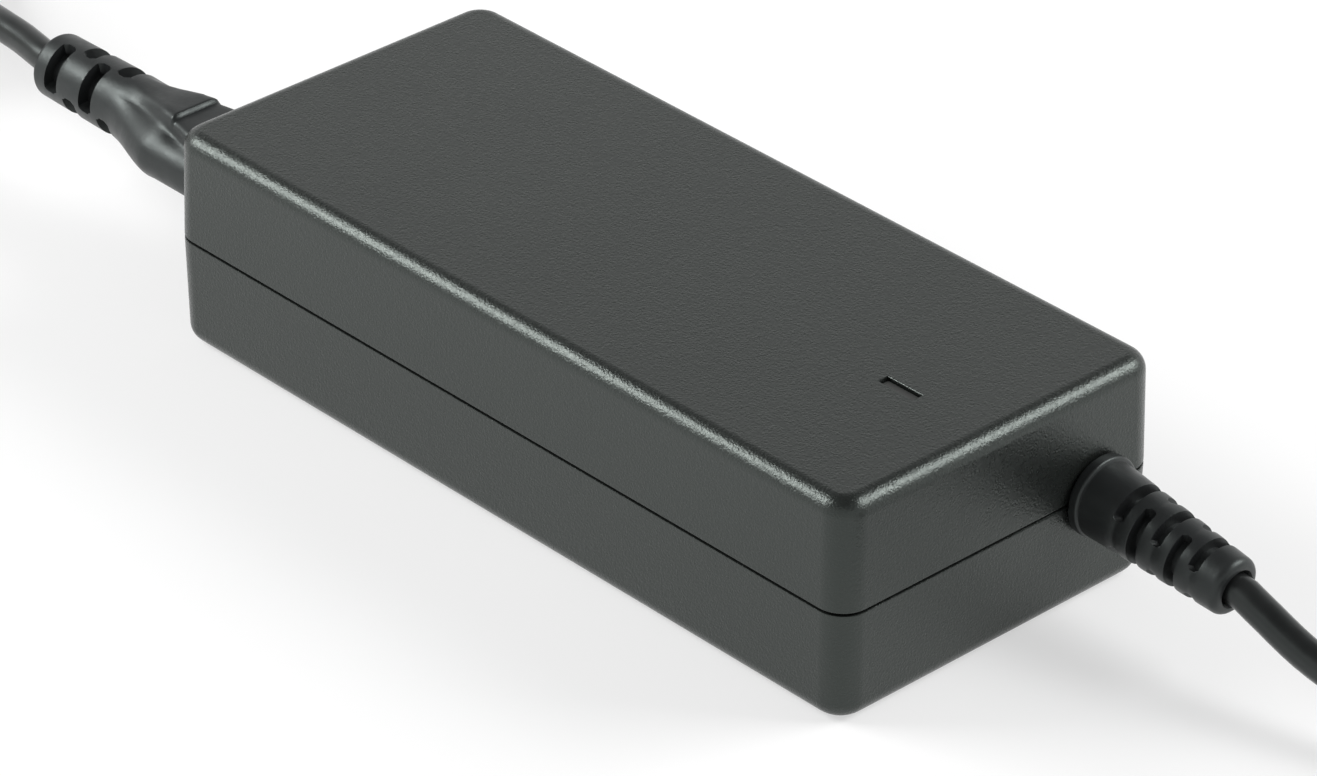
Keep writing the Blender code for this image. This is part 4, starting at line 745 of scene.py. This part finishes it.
def drawn_piece(name, base, axis, stations, reach, sides):
    """A piece along X drawn out station by station; reach gives its radius in each direction."""
    fresh()
    bpy.ops.mesh.primitive_circle_add(vertices=sides, radius=CASE_CORNER, fill_type="NGON",
                                      location=base + axis * stations[0], rotation=(0, math.pi / 2, 0))
    piece = begin(name)
    bpy.ops.mesh.select_mode(type="VERT")
    bpy.ops.mesh.select_all(action="SELECT")
    last = stations[0]
    for along in stations:
        if along != last:
            bpy.ops.mesh.extrude_region_move(TRANSFORM_OT_translate={"value": axis * (along - last)})
        shape = bmesh.from_edit_mesh(piece.data)
        for vertex in shape.verts:
            if vertex.select:
                out = Vector((0, vertex.co.y - base.y, vertex.co.z - base.z)).normalized()
                vertex.co = base + axis * along + out * reach(along, out.y, out.z)
        bmesh.update_edit_mesh(piece.data)
        last = along
    bpy.ops.mesh.select_all(action="SELECT")
    bpy.ops.mesh.normals_make_consistent(inside=False)
    fresh()
    return piece


def faces_out(face):
    """Whether a face of a wall looks away from the middle of the case."""
    middle = face.calc_center_median()
    return abs(face.normal.z) < 0.5 and face.normal.x * middle.x + face.normal.y * middle.y > 0


def make_shell(node, outward):
    """One half of the case: a drafted box with rounded corners and a filleted face, hollowed out."""
    low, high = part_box(node)
    rim, face = SEAM + outward * SEAM_GAP / 2, high.z if outward > 0 else low.z
    size = high - low
    piece = block("case_" + node, (low.x, low.y, min(rim, face)), (high.x, high.y, max(rim, face)))
    pick(piece, "FACE", lambda part: part.normal.z * outward > 0.9)
    draw_in = math.tan(CASE_DRAFT) * abs(face - rim)
    bpy.ops.transform.resize(value=(1 - 2 * draw_in / size.x, 1 - 2 * draw_in / size.y, 1),
                             center_override=(0, 0, face))
    pick(piece, "EDGE", lambda edge: abs(edge.verts[0].co.z - edge.verts[1].co.z) > CASE_CORNER)
    bpy.ops.mesh.bevel(offset=CASE_CORNER, segments=CORNER_SEGMENTS, affect="EDGES")
    pick(piece, "EDGE", lambda edge: all(abs(v.co.z - face) < NEAR for v in edge.verts))
    bpy.ops.mesh.bevel(offset=CASE_FILLET, segments=FILLET_SEGMENTS, affect="EDGES")
    pick(piece, "FACE", lambda part: part.normal.z * outward < -0.9)
    bpy.ops.mesh.delete(type="FACE")
    apply_modifier(piece, "SOLIDIFY", thickness=CASE_WALL, offset=-1.0, use_even_offset=True)
    bpy.ops.object.mode_set(mode="EDIT")
    pick(piece, "EDGE", lambda edge: all(abs(v.co.z - rim) < NEAR for v in edge.verts)
         and any(faces_out(part) for part in edge.link_faces))
    bpy.ops.mesh.bevel(offset=RIM_EASE, segments=2, affect="EDGES")
    fresh()
    return piece


def cut_ends(piece):
    """Openings in the end walls for the inlet and the strain relief."""
    inlet = block("inlet_cutter", INLET_LOW, INLET_HIGH)
    fresh()
    cut(piece, inlet)
    reach = 2 * CASE_WALL
    hole = turned_piece("relief_cutter", DC_BASE, Vector((1, 0, 0)),
                        ((-reach, RELIEF_HOLE), (reach, RELIEF_HOLE)), 48)
    cut(piece, hole)


def make_case(plastic):
    """Both halves of the case, with the openings in them and posts for the board."""
    bottom = make_shell("bottom_shell", -1)
    cut_ends(bottom)
    low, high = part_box("circuit_board")
    for x in (low.x + POST_INSET, high.x - POST_INSET):
        for y in (low.y + POST_INSET, high.y - POST_INSET):
            foot = Vector((x, y, CASE_WALL / 2))
            rise = low.z - FIT - foot.z
            profile = ((0, POST_RADIUS), (rise - FIT, POST_RADIUS), (rise, POST_RADIUS - FIT))
            cut(bottom, turned_piece("board_post", foot, Vector((0, 0, 1)), profile, 24), "UNION")
    complete(bottom, plastic, ADAPTER, "bottom_shell")

    top = make_shell("top_shell", 1)
    cut_ends(top)
    low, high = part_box("led_window")
    middle = (low + high) / 2
    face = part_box("top_shell")[1].z
    half = Vector((WINDOW_LENGTH / 2, WINDOW_WIDTH / 2, 0))
    corner = Vector((middle.x, middle.y, face - 2 * CASE_WALL))
    slot = block("window_cutter", corner - half, corner + half + Vector((0, 0, 3 * CASE_WALL)))
    fresh()
    cut(top, slot)
    bpy.context.view_layer.objects.active = top
    bpy.ops.object.mode_set(mode="EDIT")
    pick(top, "EDGE", lambda edge: all(abs(v.co.z - face) < NEAR for v in edge.verts)
         and abs(between_ends(edge).x - middle.x) < WINDOW_LENGTH
         and abs(between_ends(edge).y - middle.y) < WINDOW_WIDTH)
    bpy.ops.mesh.bevel(offset=WINDOW_EASE, segments=2, affect="EDGES")
    complete(top, plastic, ADAPTER, "top_shell")


def make_window(lens):
    """Lens with its flange, dished a little on top."""
    low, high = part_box("led_window")
    middle = (low + high) / 2
    half = Vector((WINDOW_LENGTH / 2 - FIT, WINDOW_WIDTH / 2 - FIT, 0))
    flange_top = low.z + WINDOW_FLANGE
    piece = block("lamp_window", low, (high.x, high.y, flange_top))
    pick(piece, "FACE", lambda part: part.normal.z > 0.9)
    ratio = (2 * half.x / (high.x - low.x), 2 * half.y / (high.y - low.y), 1)
    bpy.ops.mesh.extrude_region_move()
    bpy.ops.transform.resize(value=ratio, center_override=(middle.x, middle.y, flange_top))
    bpy.ops.mesh.extrude_region_move(TRANSFORM_OT_translate={"value": (0, 0, high.z - flange_top)})
    bpy.ops.mesh.inset(thickness=half.y / 3)
    bpy.ops.transform.translate(value=(0, 0, -WINDOW_DISH))
    fresh()
    soften(piece, WINDOW_EASE)
    complete(piece, lens, ADAPTER, "led_window")


def cut_slots(piece, base, axis, rows, width, floor, outer):
    """Cut rows of flex slots; a row is its distance along, its direction and half its span."""
    for along, degrees, half_span in rows:
        for turn in (degrees, degrees + 180):
            cutter = arc_cutter("slot_cutter", base, axis, along, width, floor, outer, turn, half_span)
            cut(piece, cutter)
    weld(piece)


def make_relief(rubber):
    """Strain relief of the low-voltage lead: gland in the wall, collar and slotted ribs."""
    wall_axis = Vector((1, 0, 0))
    low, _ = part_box("dc_strain_relief")
    inside = low.x - DC_BASE.x
    profile = (
        (inside, RELIEF_FLANGE),
        (inside + RELIEF_FLANGE_DEPTH, RELIEF_FLANGE),
        (inside + RELIEF_FLANGE_DEPTH + FIT / 10, RELIEF_NECK),
        (FIT, RELIEF_NECK),
        (FIT + FIT / 10, RELIEF_COLLAR),
        (RELIEF_COLLAR_END, RELIEF_COLLAR),
        (RELIEF_COLLAR_END + FIT, RELIEF_NECK),
    )
    piece = turned_piece("relief_gland", DC_BASE, wall_axis, profile, RELIEF_SIDES)
    soften(piece, RELIEF_COLLAR_EASE, 3)

    run = RELIEF_END - RELIEF_COLLAR_END
    first, last = RELIEF_SLOTS[0] - RELIEF_SLOT_STEP / 2, RELIEF_SLOTS[-1] + RELIEF_SLOT_STEP / 2
    stations = [(0.6 * RELIEF_COLLAR_END, RELIEF_BASE)]
    steps = 110
    for i in range(steps + 1):
        along = RELIEF_COLLAR_END + run * i / steps
        radius = RELIEF_BASE + (RELIEF_TIP - RELIEF_BASE) * i / steps
        if first < along < last:
            from_rib = 2 * (along - first) / RELIEF_SLOT_STEP % 2 - 1
            radius -= RELIEF_RIB_CROWN * (1 - abs(from_rib)) ** 2
        stations.append((along, radius))
    for i in range(1, 7):
        angle = math.pi / 2 * i / 6
        stations.append((RELIEF_END + RELIEF_TIP_ROUND * math.sin(angle),
                         RELIEF_TIP - RELIEF_TIP_ROUND * (1 - math.cos(angle))))
    mouth = stations[-1][0]
    stations.append((mouth + FIT / 10, DC_CORD / 2 + RELIEF_MOUTH_GAP))
    stations.append((mouth - RELIEF_MOUTH_DEPTH, DC_CORD / 2 + FIT / 3))
    body = turned_piece("dc_relief", DC_BASE, DC_HEADING, stations, RELIEF_SIDES)
    cut(body, piece, "UNION")
    rows = [(along, 90 if i % 2 == 0 else 0, 65 if i % 2 == 0 else 72)
            for i, along in enumerate(RELIEF_SLOTS)]
    cut_slots(body, DC_BASE, DC_HEADING, rows, RELIEF_SLOT_WIDTH, RELIEF_SLOT_FLOOR, 2 * RELIEF_BASE)
    soften(body, SLOT_EASE, 2, 50.0)
    return complete(body, rubber, ADAPTER, "dc_strain_relief", smooth_degrees=50.0)


def lobed_reach(across, up, lobe, half_width, top, blend):
    """How far the three-lobed section reaches from its axis in one direction."""
    base = -POLE_DROP - lobe
    reach = [0.0]
    for pole in (-POLE_SPACING / 2, POLE_SPACING / 2):
        along = across * pole - up * POLE_DROP
        left = along ** 2 - pole ** 2 - POLE_DROP ** 2 + lobe ** 2
        if left > 0:
            reach.append(max(along + math.sqrt(left), 0.0))
    if up > 0:
        reach.append(((abs(across) / half_width) ** LOBE_POWER + (up / top) ** LOBE_POWER)
                     ** (-1 / LOBE_POWER))
    else:
        reach.append(min(POLE_SPACING / 2 / max(abs(across), NEAR), base / min(up, -NEAR)))
    return sum(each ** blend for each in reach) ** (1 / blend)


def flank_reach(across, up, lobe, half_width, top):
    """Reach of a flat flank from the earth lobe's shoulder down to the side of a pole lobe."""
    shoulder = Vector((half_width, top)) * SHOULDER
    centre = Vector((POLE_SPACING / 2, -POLE_DROP))
    away = shoulder - centre
    angle = math.atan2(away.y, away.x) - math.acos(lobe / away.length)
    touch = centre + lobe * Vector((math.cos(angle), math.sin(angle)))
    run = touch - shoulder
    level = abs(across)
    if not touch.y / touch.x < up / max(level, NEAR) < shoulder.y / shoulder.x:
        return 0.0
    return (shoulder.x * run.y - shoulder.y * run.x) / (level * run.y - up * run.x)


def connector_reach(along, across, up):
    """Reach of the connector's body from its axis: three lobes that flow into a round neck."""
    if along < 0:
        ease_in = max(0.0, FIT - NOSE_LENGTH - along)
        return lobed_reach(across, up, LOBE - NOSE_STEP, NOSE_EARTH, EARTH_TOP - NOSE_STEP,
                           LOBE_BLEND) - ease_in
    half_width = EARTH_HALF - EARTH_TAPER * max(0.0, min(along, FLARE_END) - EARTH_FULL_AT)
    top = EARTH_TOP
    if along > RIDGE_AT:
        top += RIDGE_RISE * (1 - ease((along - RIDGE_AT) / (FLARE_END - RIDGE_AT)))
    else:
        top += RIDGE_RISE * ease((along - RIDGE_AT + RIDGE_FALL) / RIDGE_FALL)
    flare = min(max((along - FLARE_START) / (FLARE_END - FLARE_START), 0.0), 1.0)
    blend = 0.6 * flare + 0.4 * ease(flare)
    filled = ease((along - NOTCH_FULL_TO) / (NOTCH_END - NOTCH_FULL_TO))
    lobed = lobed_reach(across, up, LOBE, half_width, top, LOBE_BLEND + (FILLED_BLEND - LOBE_BLEND) * filled)
    lobed += FLANK_FILL * filled * max(0.0, flank_reach(across, up, LOBE, half_width, top) - lobed)
    shrink = (NECK_RADIUS - NECK_END_RADIUS) * max(0.0, along - FLARE_END) / (CONNECTOR_END - FLARE_END)
    reach = lobed * (1 - blend) + (NECK_RADIUS - shrink) * blend
    left = CONNECTOR_END - along
    if left < NECK_ROUND:
        reach -= NECK_ROUND - math.sqrt(max(NECK_ROUND ** 2 - (NECK_ROUND - left) ** 2, 0.0))
    return reach


def make_connector(rubber):
    """Moulded mains connector: the nose in the inlet, the lobed grip and the slotted neck."""
    axis = MAINS_HEADING
    base = CONNECTOR_BASE
    stations = [-NOSE_LENGTH, -NOSE_LENGTH + FIT, -FIT, FIT, FIT + 0.0004]
    at = 0.0015
    while at < CONNECTOR_END - NECK_ROUND:
        stations.append(at)
        at += STATION_STEP
    stations += [RIDGE_AT + RIDGE_FALL * share for share in (-1, -0.75, -0.5, -0.25, 0, 0.3, 0.6)]
    stations += [CONNECTOR_END - NECK_ROUND * share for share in (1, 0.75, 0.5, 0.3, 0.15, 0.05, 0)]
    stations.sort()
    piece = drawn_piece("mains_grip", base, axis, stations, connector_reach, CONNECTOR_SIDES)
    rows = [(NECK_SLOT_FIRST + NECK_SLOT_STEP * i, 125 if i % 2 == 0 else 35, 48) for i in range(4)]
    cut_slots(piece, base, axis, rows, NECK_SLOT_WIDTH, NECK_SLOT_FLOOR, 2 * NECK_RADIUS)
    for across, up in ((-POLE_SPACING / 2, -POLE_DROP), (POLE_SPACING / 2, -POLE_DROP), (0.0, EARTH_RISE)):
        bore = ((-NOSE_LENGTH - FIT, CONTACT_BORE), (-CONTACT_BOTTOM, CONTACT_BORE))
        cut(piece, turned_piece("contact_cutter", base + Vector((0, across, up)), axis, bore, 32))
    soften(piece, SLOT_EASE, 2, 50.0)
    return complete(piece, rubber, MAINS_LEAD, "mains_connector", smooth_degrees=50.0)


def plug_reach(along, across, up):
    """Reach of the mains plug from its axis: a round relief that swells into a squarish grip."""
    steps = [step for step in PLUG_STEPS if step[0] <= along + NEAR]
    start = steps[-1]
    end = PLUG_STEPS[min(len(steps), len(PLUG_STEPS) - 1)]
    share = ease((along - start[0]) / max(end[0] - start[0], NEAR))
    half_width, half_height, power = (a + (b - a) * share for a, b in zip(start[1:], end[1:]))
    reach = ((abs(across) / half_width) ** power + (abs(up) / half_height) ** power) ** (-1 / power)
    if PLUG_RIBS[0] < along < PLUG_RIBS[1] and abs(across) > abs(up):
        wave = math.cos(2 * math.pi * (along - PLUG_RIBS[0]) / PLUG_RIB_STEP)
        side = ease((abs(across) - abs(up)) * 3)
        reach -= PLUG_RIB_DEPTH * side * (1 - wave) / 2
    return reach


def make_mains_plug(rubber, brass):
    """Mains plug with a slotted relief, ribbed grip, two flat blades and a round earth pin."""
    axis = Vector((1, 0, 0))
    low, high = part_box("mains_plug_body")
    base = end_of("mains_plug_body", True)
    length = high.x - low.x
    stations = [length * i / 100 for i in range(101)]
    body = drawn_piece("mains_plug", base, axis, stations, plug_reach, 72)
    rows = [(PLUG_SLOT_FIRST + PLUG_SLOT_STEP * i, 90 * (i % 2), 58) for i in range(4)]
    cut_slots(body, base, axis, rows, PLUG_SLOT_WIDTH, PLUG_SLOT_FLOOR, 2 * PLUG_SLOT_FLOOR + CASE_WALL)
    pieces = []
    margin = Vector((FIT, FIT, FIT))
    for name in ("mains_blade_live", "mains_blade_neutral"):
        low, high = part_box(name)
        pocket = block("blade_pocket", low - margin, high + margin)
        fresh()
        cut(body, pocket)
        blade = block(name.replace("mains", "plug"), low, high)
        pick(blade, "EDGE", lambda edge: all(v.co.x > high.x - NEAR for v in edge.verts)
             and abs(edge.verts[0].co.y - edge.verts[1].co.y) > NEAR)
        bpy.ops.mesh.bevel(offset=BLADE_TIP, segments=4, affect="EDGES")
        fresh()
        middle = Vector((high.x - BLADE_HOLE_FROM_TIP, low.y - CASE_WALL, (low.z + high.z) / 2))
        through = high.y - low.y + 2 * CASE_WALL
        cut(blade, turned_piece("blade_hole", middle, Vector((0, 1, 0)),
                                ((0, BLADE_HOLE), (through, BLADE_HOLE)), 24))
        soften(blade, BLADE_EASE)
        pieces.append(complete(blade, brass, MAINS_LEAD, name))
    low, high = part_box("mains_earth_pin")
    root = end_of("mains_earth_pin", True)
    radius = (high.y - low.y) / 2
    length = high.x - low.x
    cut(body, turned_piece("pin_pocket", root, axis, ((-FIT, radius + FIT), (length, radius + FIT)), 32))
    profile = [(0, radius)]
    for i in range(9):
        angle = math.radians(9 * i)
        profile.append((length - radius + radius * math.sin(angle) / math.sin(math.radians(72)),
                        radius * math.cos(angle)))
    pieces.append(complete(turned_piece("plug_earth_pin", root, axis, profile, 32), brass, MAINS_LEAD,
                           "mains_earth_pin"))
    soften(body, SLOT_EASE, 2, 50.0)
    pieces.append(complete(body, rubber, MAINS_LEAD, "mains_plug_body", smooth_degrees=50.0))
    return pieces


def make_dc_plug(rubber, metal, plastic):
    """Round plug of the low-voltage lead: slotted relief, ringed grip, barrel and inner sleeve."""
    axis = Vector((1, 0, 0))
    low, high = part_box("dc_plug_body")
    base = end_of("dc_plug_body", True)
    length = high.x - low.x
    grip = (high.y - low.y) / 2
    stations = [(0, DC_PLUG_THIN - FIT), (FIT, DC_PLUG_THIN), (DC_PLUG_RELIEF, DC_PLUG_THICK)]
    for i in range(1, 9):
        share = i / 8
        stations.append((DC_PLUG_RELIEF + DC_PLUG_SHOULDER * share,
                         DC_PLUG_THICK + (grip - DC_PLUG_THICK) * ease(share)))
    start = stations[-1][0]
    rings = 5
    run = length - start - DC_PLUG_SHOULDER
    for i in range(rings * 8 + 1):
        wave = (1 - math.cos(2 * math.pi * i / 8)) / 2
        stations.append((start + FIT + run * i / (rings * 8), grip - DC_PLUG_RING * wave))
    for i in range(1, 6):
        angle = math.radians(18 * i)
        stations.append((length - DC_PLUG_ROUND * (1 - math.sin(angle)),
                         grip - DC_PLUG_ROUND * (1 - math.cos(angle))))
    body = turned_piece("dc_plug", base, axis, stations, 56)
    rows = [(DC_PLUG_SLOT_FIRST + DC_PLUG_SLOT_STEP * i, 90 * (i % 2), 60) for i in range(4)]
    cut_slots(body, base, axis, rows, DC_PLUG_SLOT_WIDTH, DC_PLUG_SLOT_FLOOR, grip + CASE_WALL)
    pieces = []
    for node, name, wall, finish in (("dc_plug_barrel", "plug_barrel", BARREL_WALL, metal),
                                     ("dc_plug_insulator", "plug_sleeve", SLEEVE_WALL, plastic)):
        low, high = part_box(node)
        root = end_of(node, True)
        outer = (high.y - low.y) / 2
        reach = high.x - low.x
        if name == "plug_barrel":
            cut(body, turned_piece("barrel_pocket", root, axis,
                                   ((-FIT, outer + FIT), (2 * reach, outer + FIT)), 48))
        profile = ((0, outer), (reach - wall / 2, outer), (reach, outer - wall / 2),
                   (reach - wall / 3, outer - wall), (wall, outer - wall))
        pipe = turned_piece(name, root, axis, profile, 48)
        pieces.append(complete(pipe, finish, ADAPTER, node))
    soften(body, SLOT_EASE, 2, 50.0)
    pieces.append(complete(body, rubber, ADAPTER, "dc_plug_body", smooth_degrees=50.0))
    return pieces


def make_tie(name, node, coil, degrees, strap, body):
    """Soft strap drawn round all the loops of a coil, with a rounded run over its corners."""
    inner = coil.radius - coil.pitch * (coil.turns + 0.25) - coil.diameter / 2 - TIE_CLEARANCE
    outer = coil.radius + coil.pitch / 4 + coil.diameter / 2 + TIE_CLEARANCE
    top = COIL_LIFT + coil.diameter + coil.pitch * (coil.layers - 1) + TIE_CLEARANCE
    low = Vector((inner - TIE_THICKNESS, -TIE_WIDTH / 2, 0.0))
    high = Vector((outer + TIE_THICKNESS, TIE_WIDTH / 2, top + TIE_THICKNESS))
    piece = block(name, low, high)
    pick(piece, "FACE", lambda part: abs(part.normal.y) > 0.9)
    bpy.ops.mesh.inset(thickness=TIE_THICKNESS)
    bpy.ops.mesh.bridge_edge_loops()
    pick(piece, "EDGE", lambda edge: abs(edge.verts[0].co.y - edge.verts[1].co.y) > TIE_WIDTH / 2)
    bpy.ops.mesh.bevel(offset=TIE_ROUND, segments=6, affect="EDGES")
    bpy.ops.mesh.select_all(action="SELECT")
    turn = Matrix.Rotation(math.radians(degrees), 4, "Z")
    place = Matrix.Translation((coil.centre[0], coil.centre[1], 0.0)) @ turn
    shape = bmesh.from_edit_mesh(piece.data)
    for vertex in shape.verts:
        vertex.co = place @ vertex.co
    bmesh.update_edit_mesh(piece.data)
    fresh()
    soften(piece, TIE_EASE)
    return complete(piece, strap, body, node)


def make_floor():
    """Pale floor that keeps the shadow and reads as white."""
    fresh()
    bpy.ops.mesh.primitive_plane_add(size=FLOOR_SIZE, location=(0, 0, -0.0001))
    floor = begin("studio_floor")
    fresh()
    paper = Finish("white_paper", specular=0.2)
    paper.colour(paper.noise(8.0), FLOOR_DARK, FLOOR_LIGHT)
    paper.roughness(paper.noise(300.0), 0.85, 0.95)
    nodes, links = paper.nodes, paper.links
    path = nodes.new("ShaderNodeLightPath")
    seen = path.outputs["Is Camera Ray"]
    for other in ("Is Glossy Ray", "Is Transmission Ray"):
        either = nodes.new("ShaderNodeMath")
        either.operation = "MAXIMUM"
        links.new(seen, either.inputs[0])
        links.new(path.outputs[other], either.inputs[1])
        seen = either.outputs[0]
    lift = nodes.new("ShaderNodeMath")
    lift.operation = "MULTIPLY"
    lift.inputs[1].default_value = FLOOR_LIFT
    links.new(seen, lift.inputs[0])
    paper.shader.inputs["Emission Color"].default_value = (1.0, 1.0, 1.0, 1.0)
    links.new(lift.outputs[0], paper.shader.inputs["Emission Strength"])
    floor.data.materials.append(paper.material)


def make_world():
    """Studio with pale walls and a dim ceiling."""
    world = bpy.data.worlds.new("studio")
    bpy.context.scene.world = world
    world.use_nodes = True
    nodes, links = world.node_tree.nodes, world.node_tree.links
    back = nodes["Background"]
    back.inputs["Color"].default_value = (1.0, 1.0, 1.0, 1.0)
    direction = nodes.new("ShaderNodeTexCoord").outputs["Generated"]
    split = nodes.new("ShaderNodeSeparateXYZ")
    links.new(direction, split.inputs["Vector"])
    level = nodes.new("ShaderNodeMapRange")
    level.interpolation_type = "SMOOTHSTEP"
    level.inputs["From Min"].default_value = WALL_TOP
    level.inputs["From Max"].default_value = CEILING_FROM
    level.inputs["To Min"].default_value = WALL_LIGHT
    level.inputs["To Max"].default_value = CEILING_LIGHT
    links.new(split.outputs["Z"], level.inputs["Value"])
    links.new(level.outputs["Result"], back.inputs["Strength"])


def make_lamp(name, place, size, power):
    """Soft box that points at the case, its longer side level."""
    data = bpy.data.lights.new(name, "AREA")
    data.shape = "RECTANGLE"
    data.size, data.size_y = size
    data.energy = power
    lamp = bpy.data.objects.new(name, data)
    away = Vector(place).normalized()
    level, up = axes_across(away)
    turn = Matrix((level, up, away)).transposed()
    lamp.matrix_world = Matrix.Translation(place) @ turn.to_4x4()
    bpy.context.scene.collection.objects.link(lamp)


def lay_cord(solids):
    """Hide the CAD solids that one drawn lead stands in for."""
    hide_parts(*solids)


def main():
    """Dress the frame, then set out the studio."""
    finishes = inner_finishes()
    for name, node in NODES.items():
        if SLOTS[name] in finishes:
            node.data.materials[0] = finishes[SLOTS[name]]
    plastic = moulded_plastic()
    strap = strap_finish()
    brass = bare_metal("plated_brass_blade", (0.60, 0.52, 0.34), (0.74, 0.66, 0.46), (0.18, 0.32))
    pvc = soft_pvc("relief_pvc", PVC_DARK, PVC_LIGHT, PVC_GLOSS, PVC_GRAIN)
    cord_pvc = soft_pvc("cord_pvc", CORD_DARK, CORD_LIGHT, CORD_GLOSS, CORD_GRAIN)

    make_case(plastic)
    make_window(finishes["lens"])

    company = [make_connector(pvc)]
    company += make_mains_plug(pvc, brass)
    company.append(make_tie("mains_strap", "mains_cord_tie", MAINS_COIL, MAINS_TIE_DEGREES, strap, MAINS_LEAD))
    cord, length = make_cord("mains_flex", MAINS_START, MAINS_HEADING, MAINS_ROUTE, MAINS_COIL,
                             end_of("mains_plug_body", True), cord_pvc, MAINS_LEAD)
    lay_cord(("mains_cord", "mains_coil"))

    company = [make_relief(pvc)]
    company += make_dc_plug(pvc, finishes["nickel"], finishes["component_black"])
    company.append(make_tie("dc_strap", "dc_cord_tie", DC_COIL, DC_TIE_DEGREES, strap, ADAPTER))
    cord, length = make_cord("dc_flex", DC_START, DC_HEADING, DC_ROUTE, DC_COIL,
                             end_of("dc_plug_body", True), cord_pvc, ADAPTER)
    lay_cord(("dc_cord", "dc_coil"))

    make_floor()
    make_world()
    make_lamp("left_soft_box", LEFT_LAMP_PLACE, LEFT_LAMP_SIZE, LEFT_LAMP)
    make_lamp("back_soft_box", BACK_LAMP_PLACE, BACK_LAMP_SIZE, BACK_LAMP)
    make_camera()
    bpy.context.scene.view_settings.view_transform = "Standard"


main()
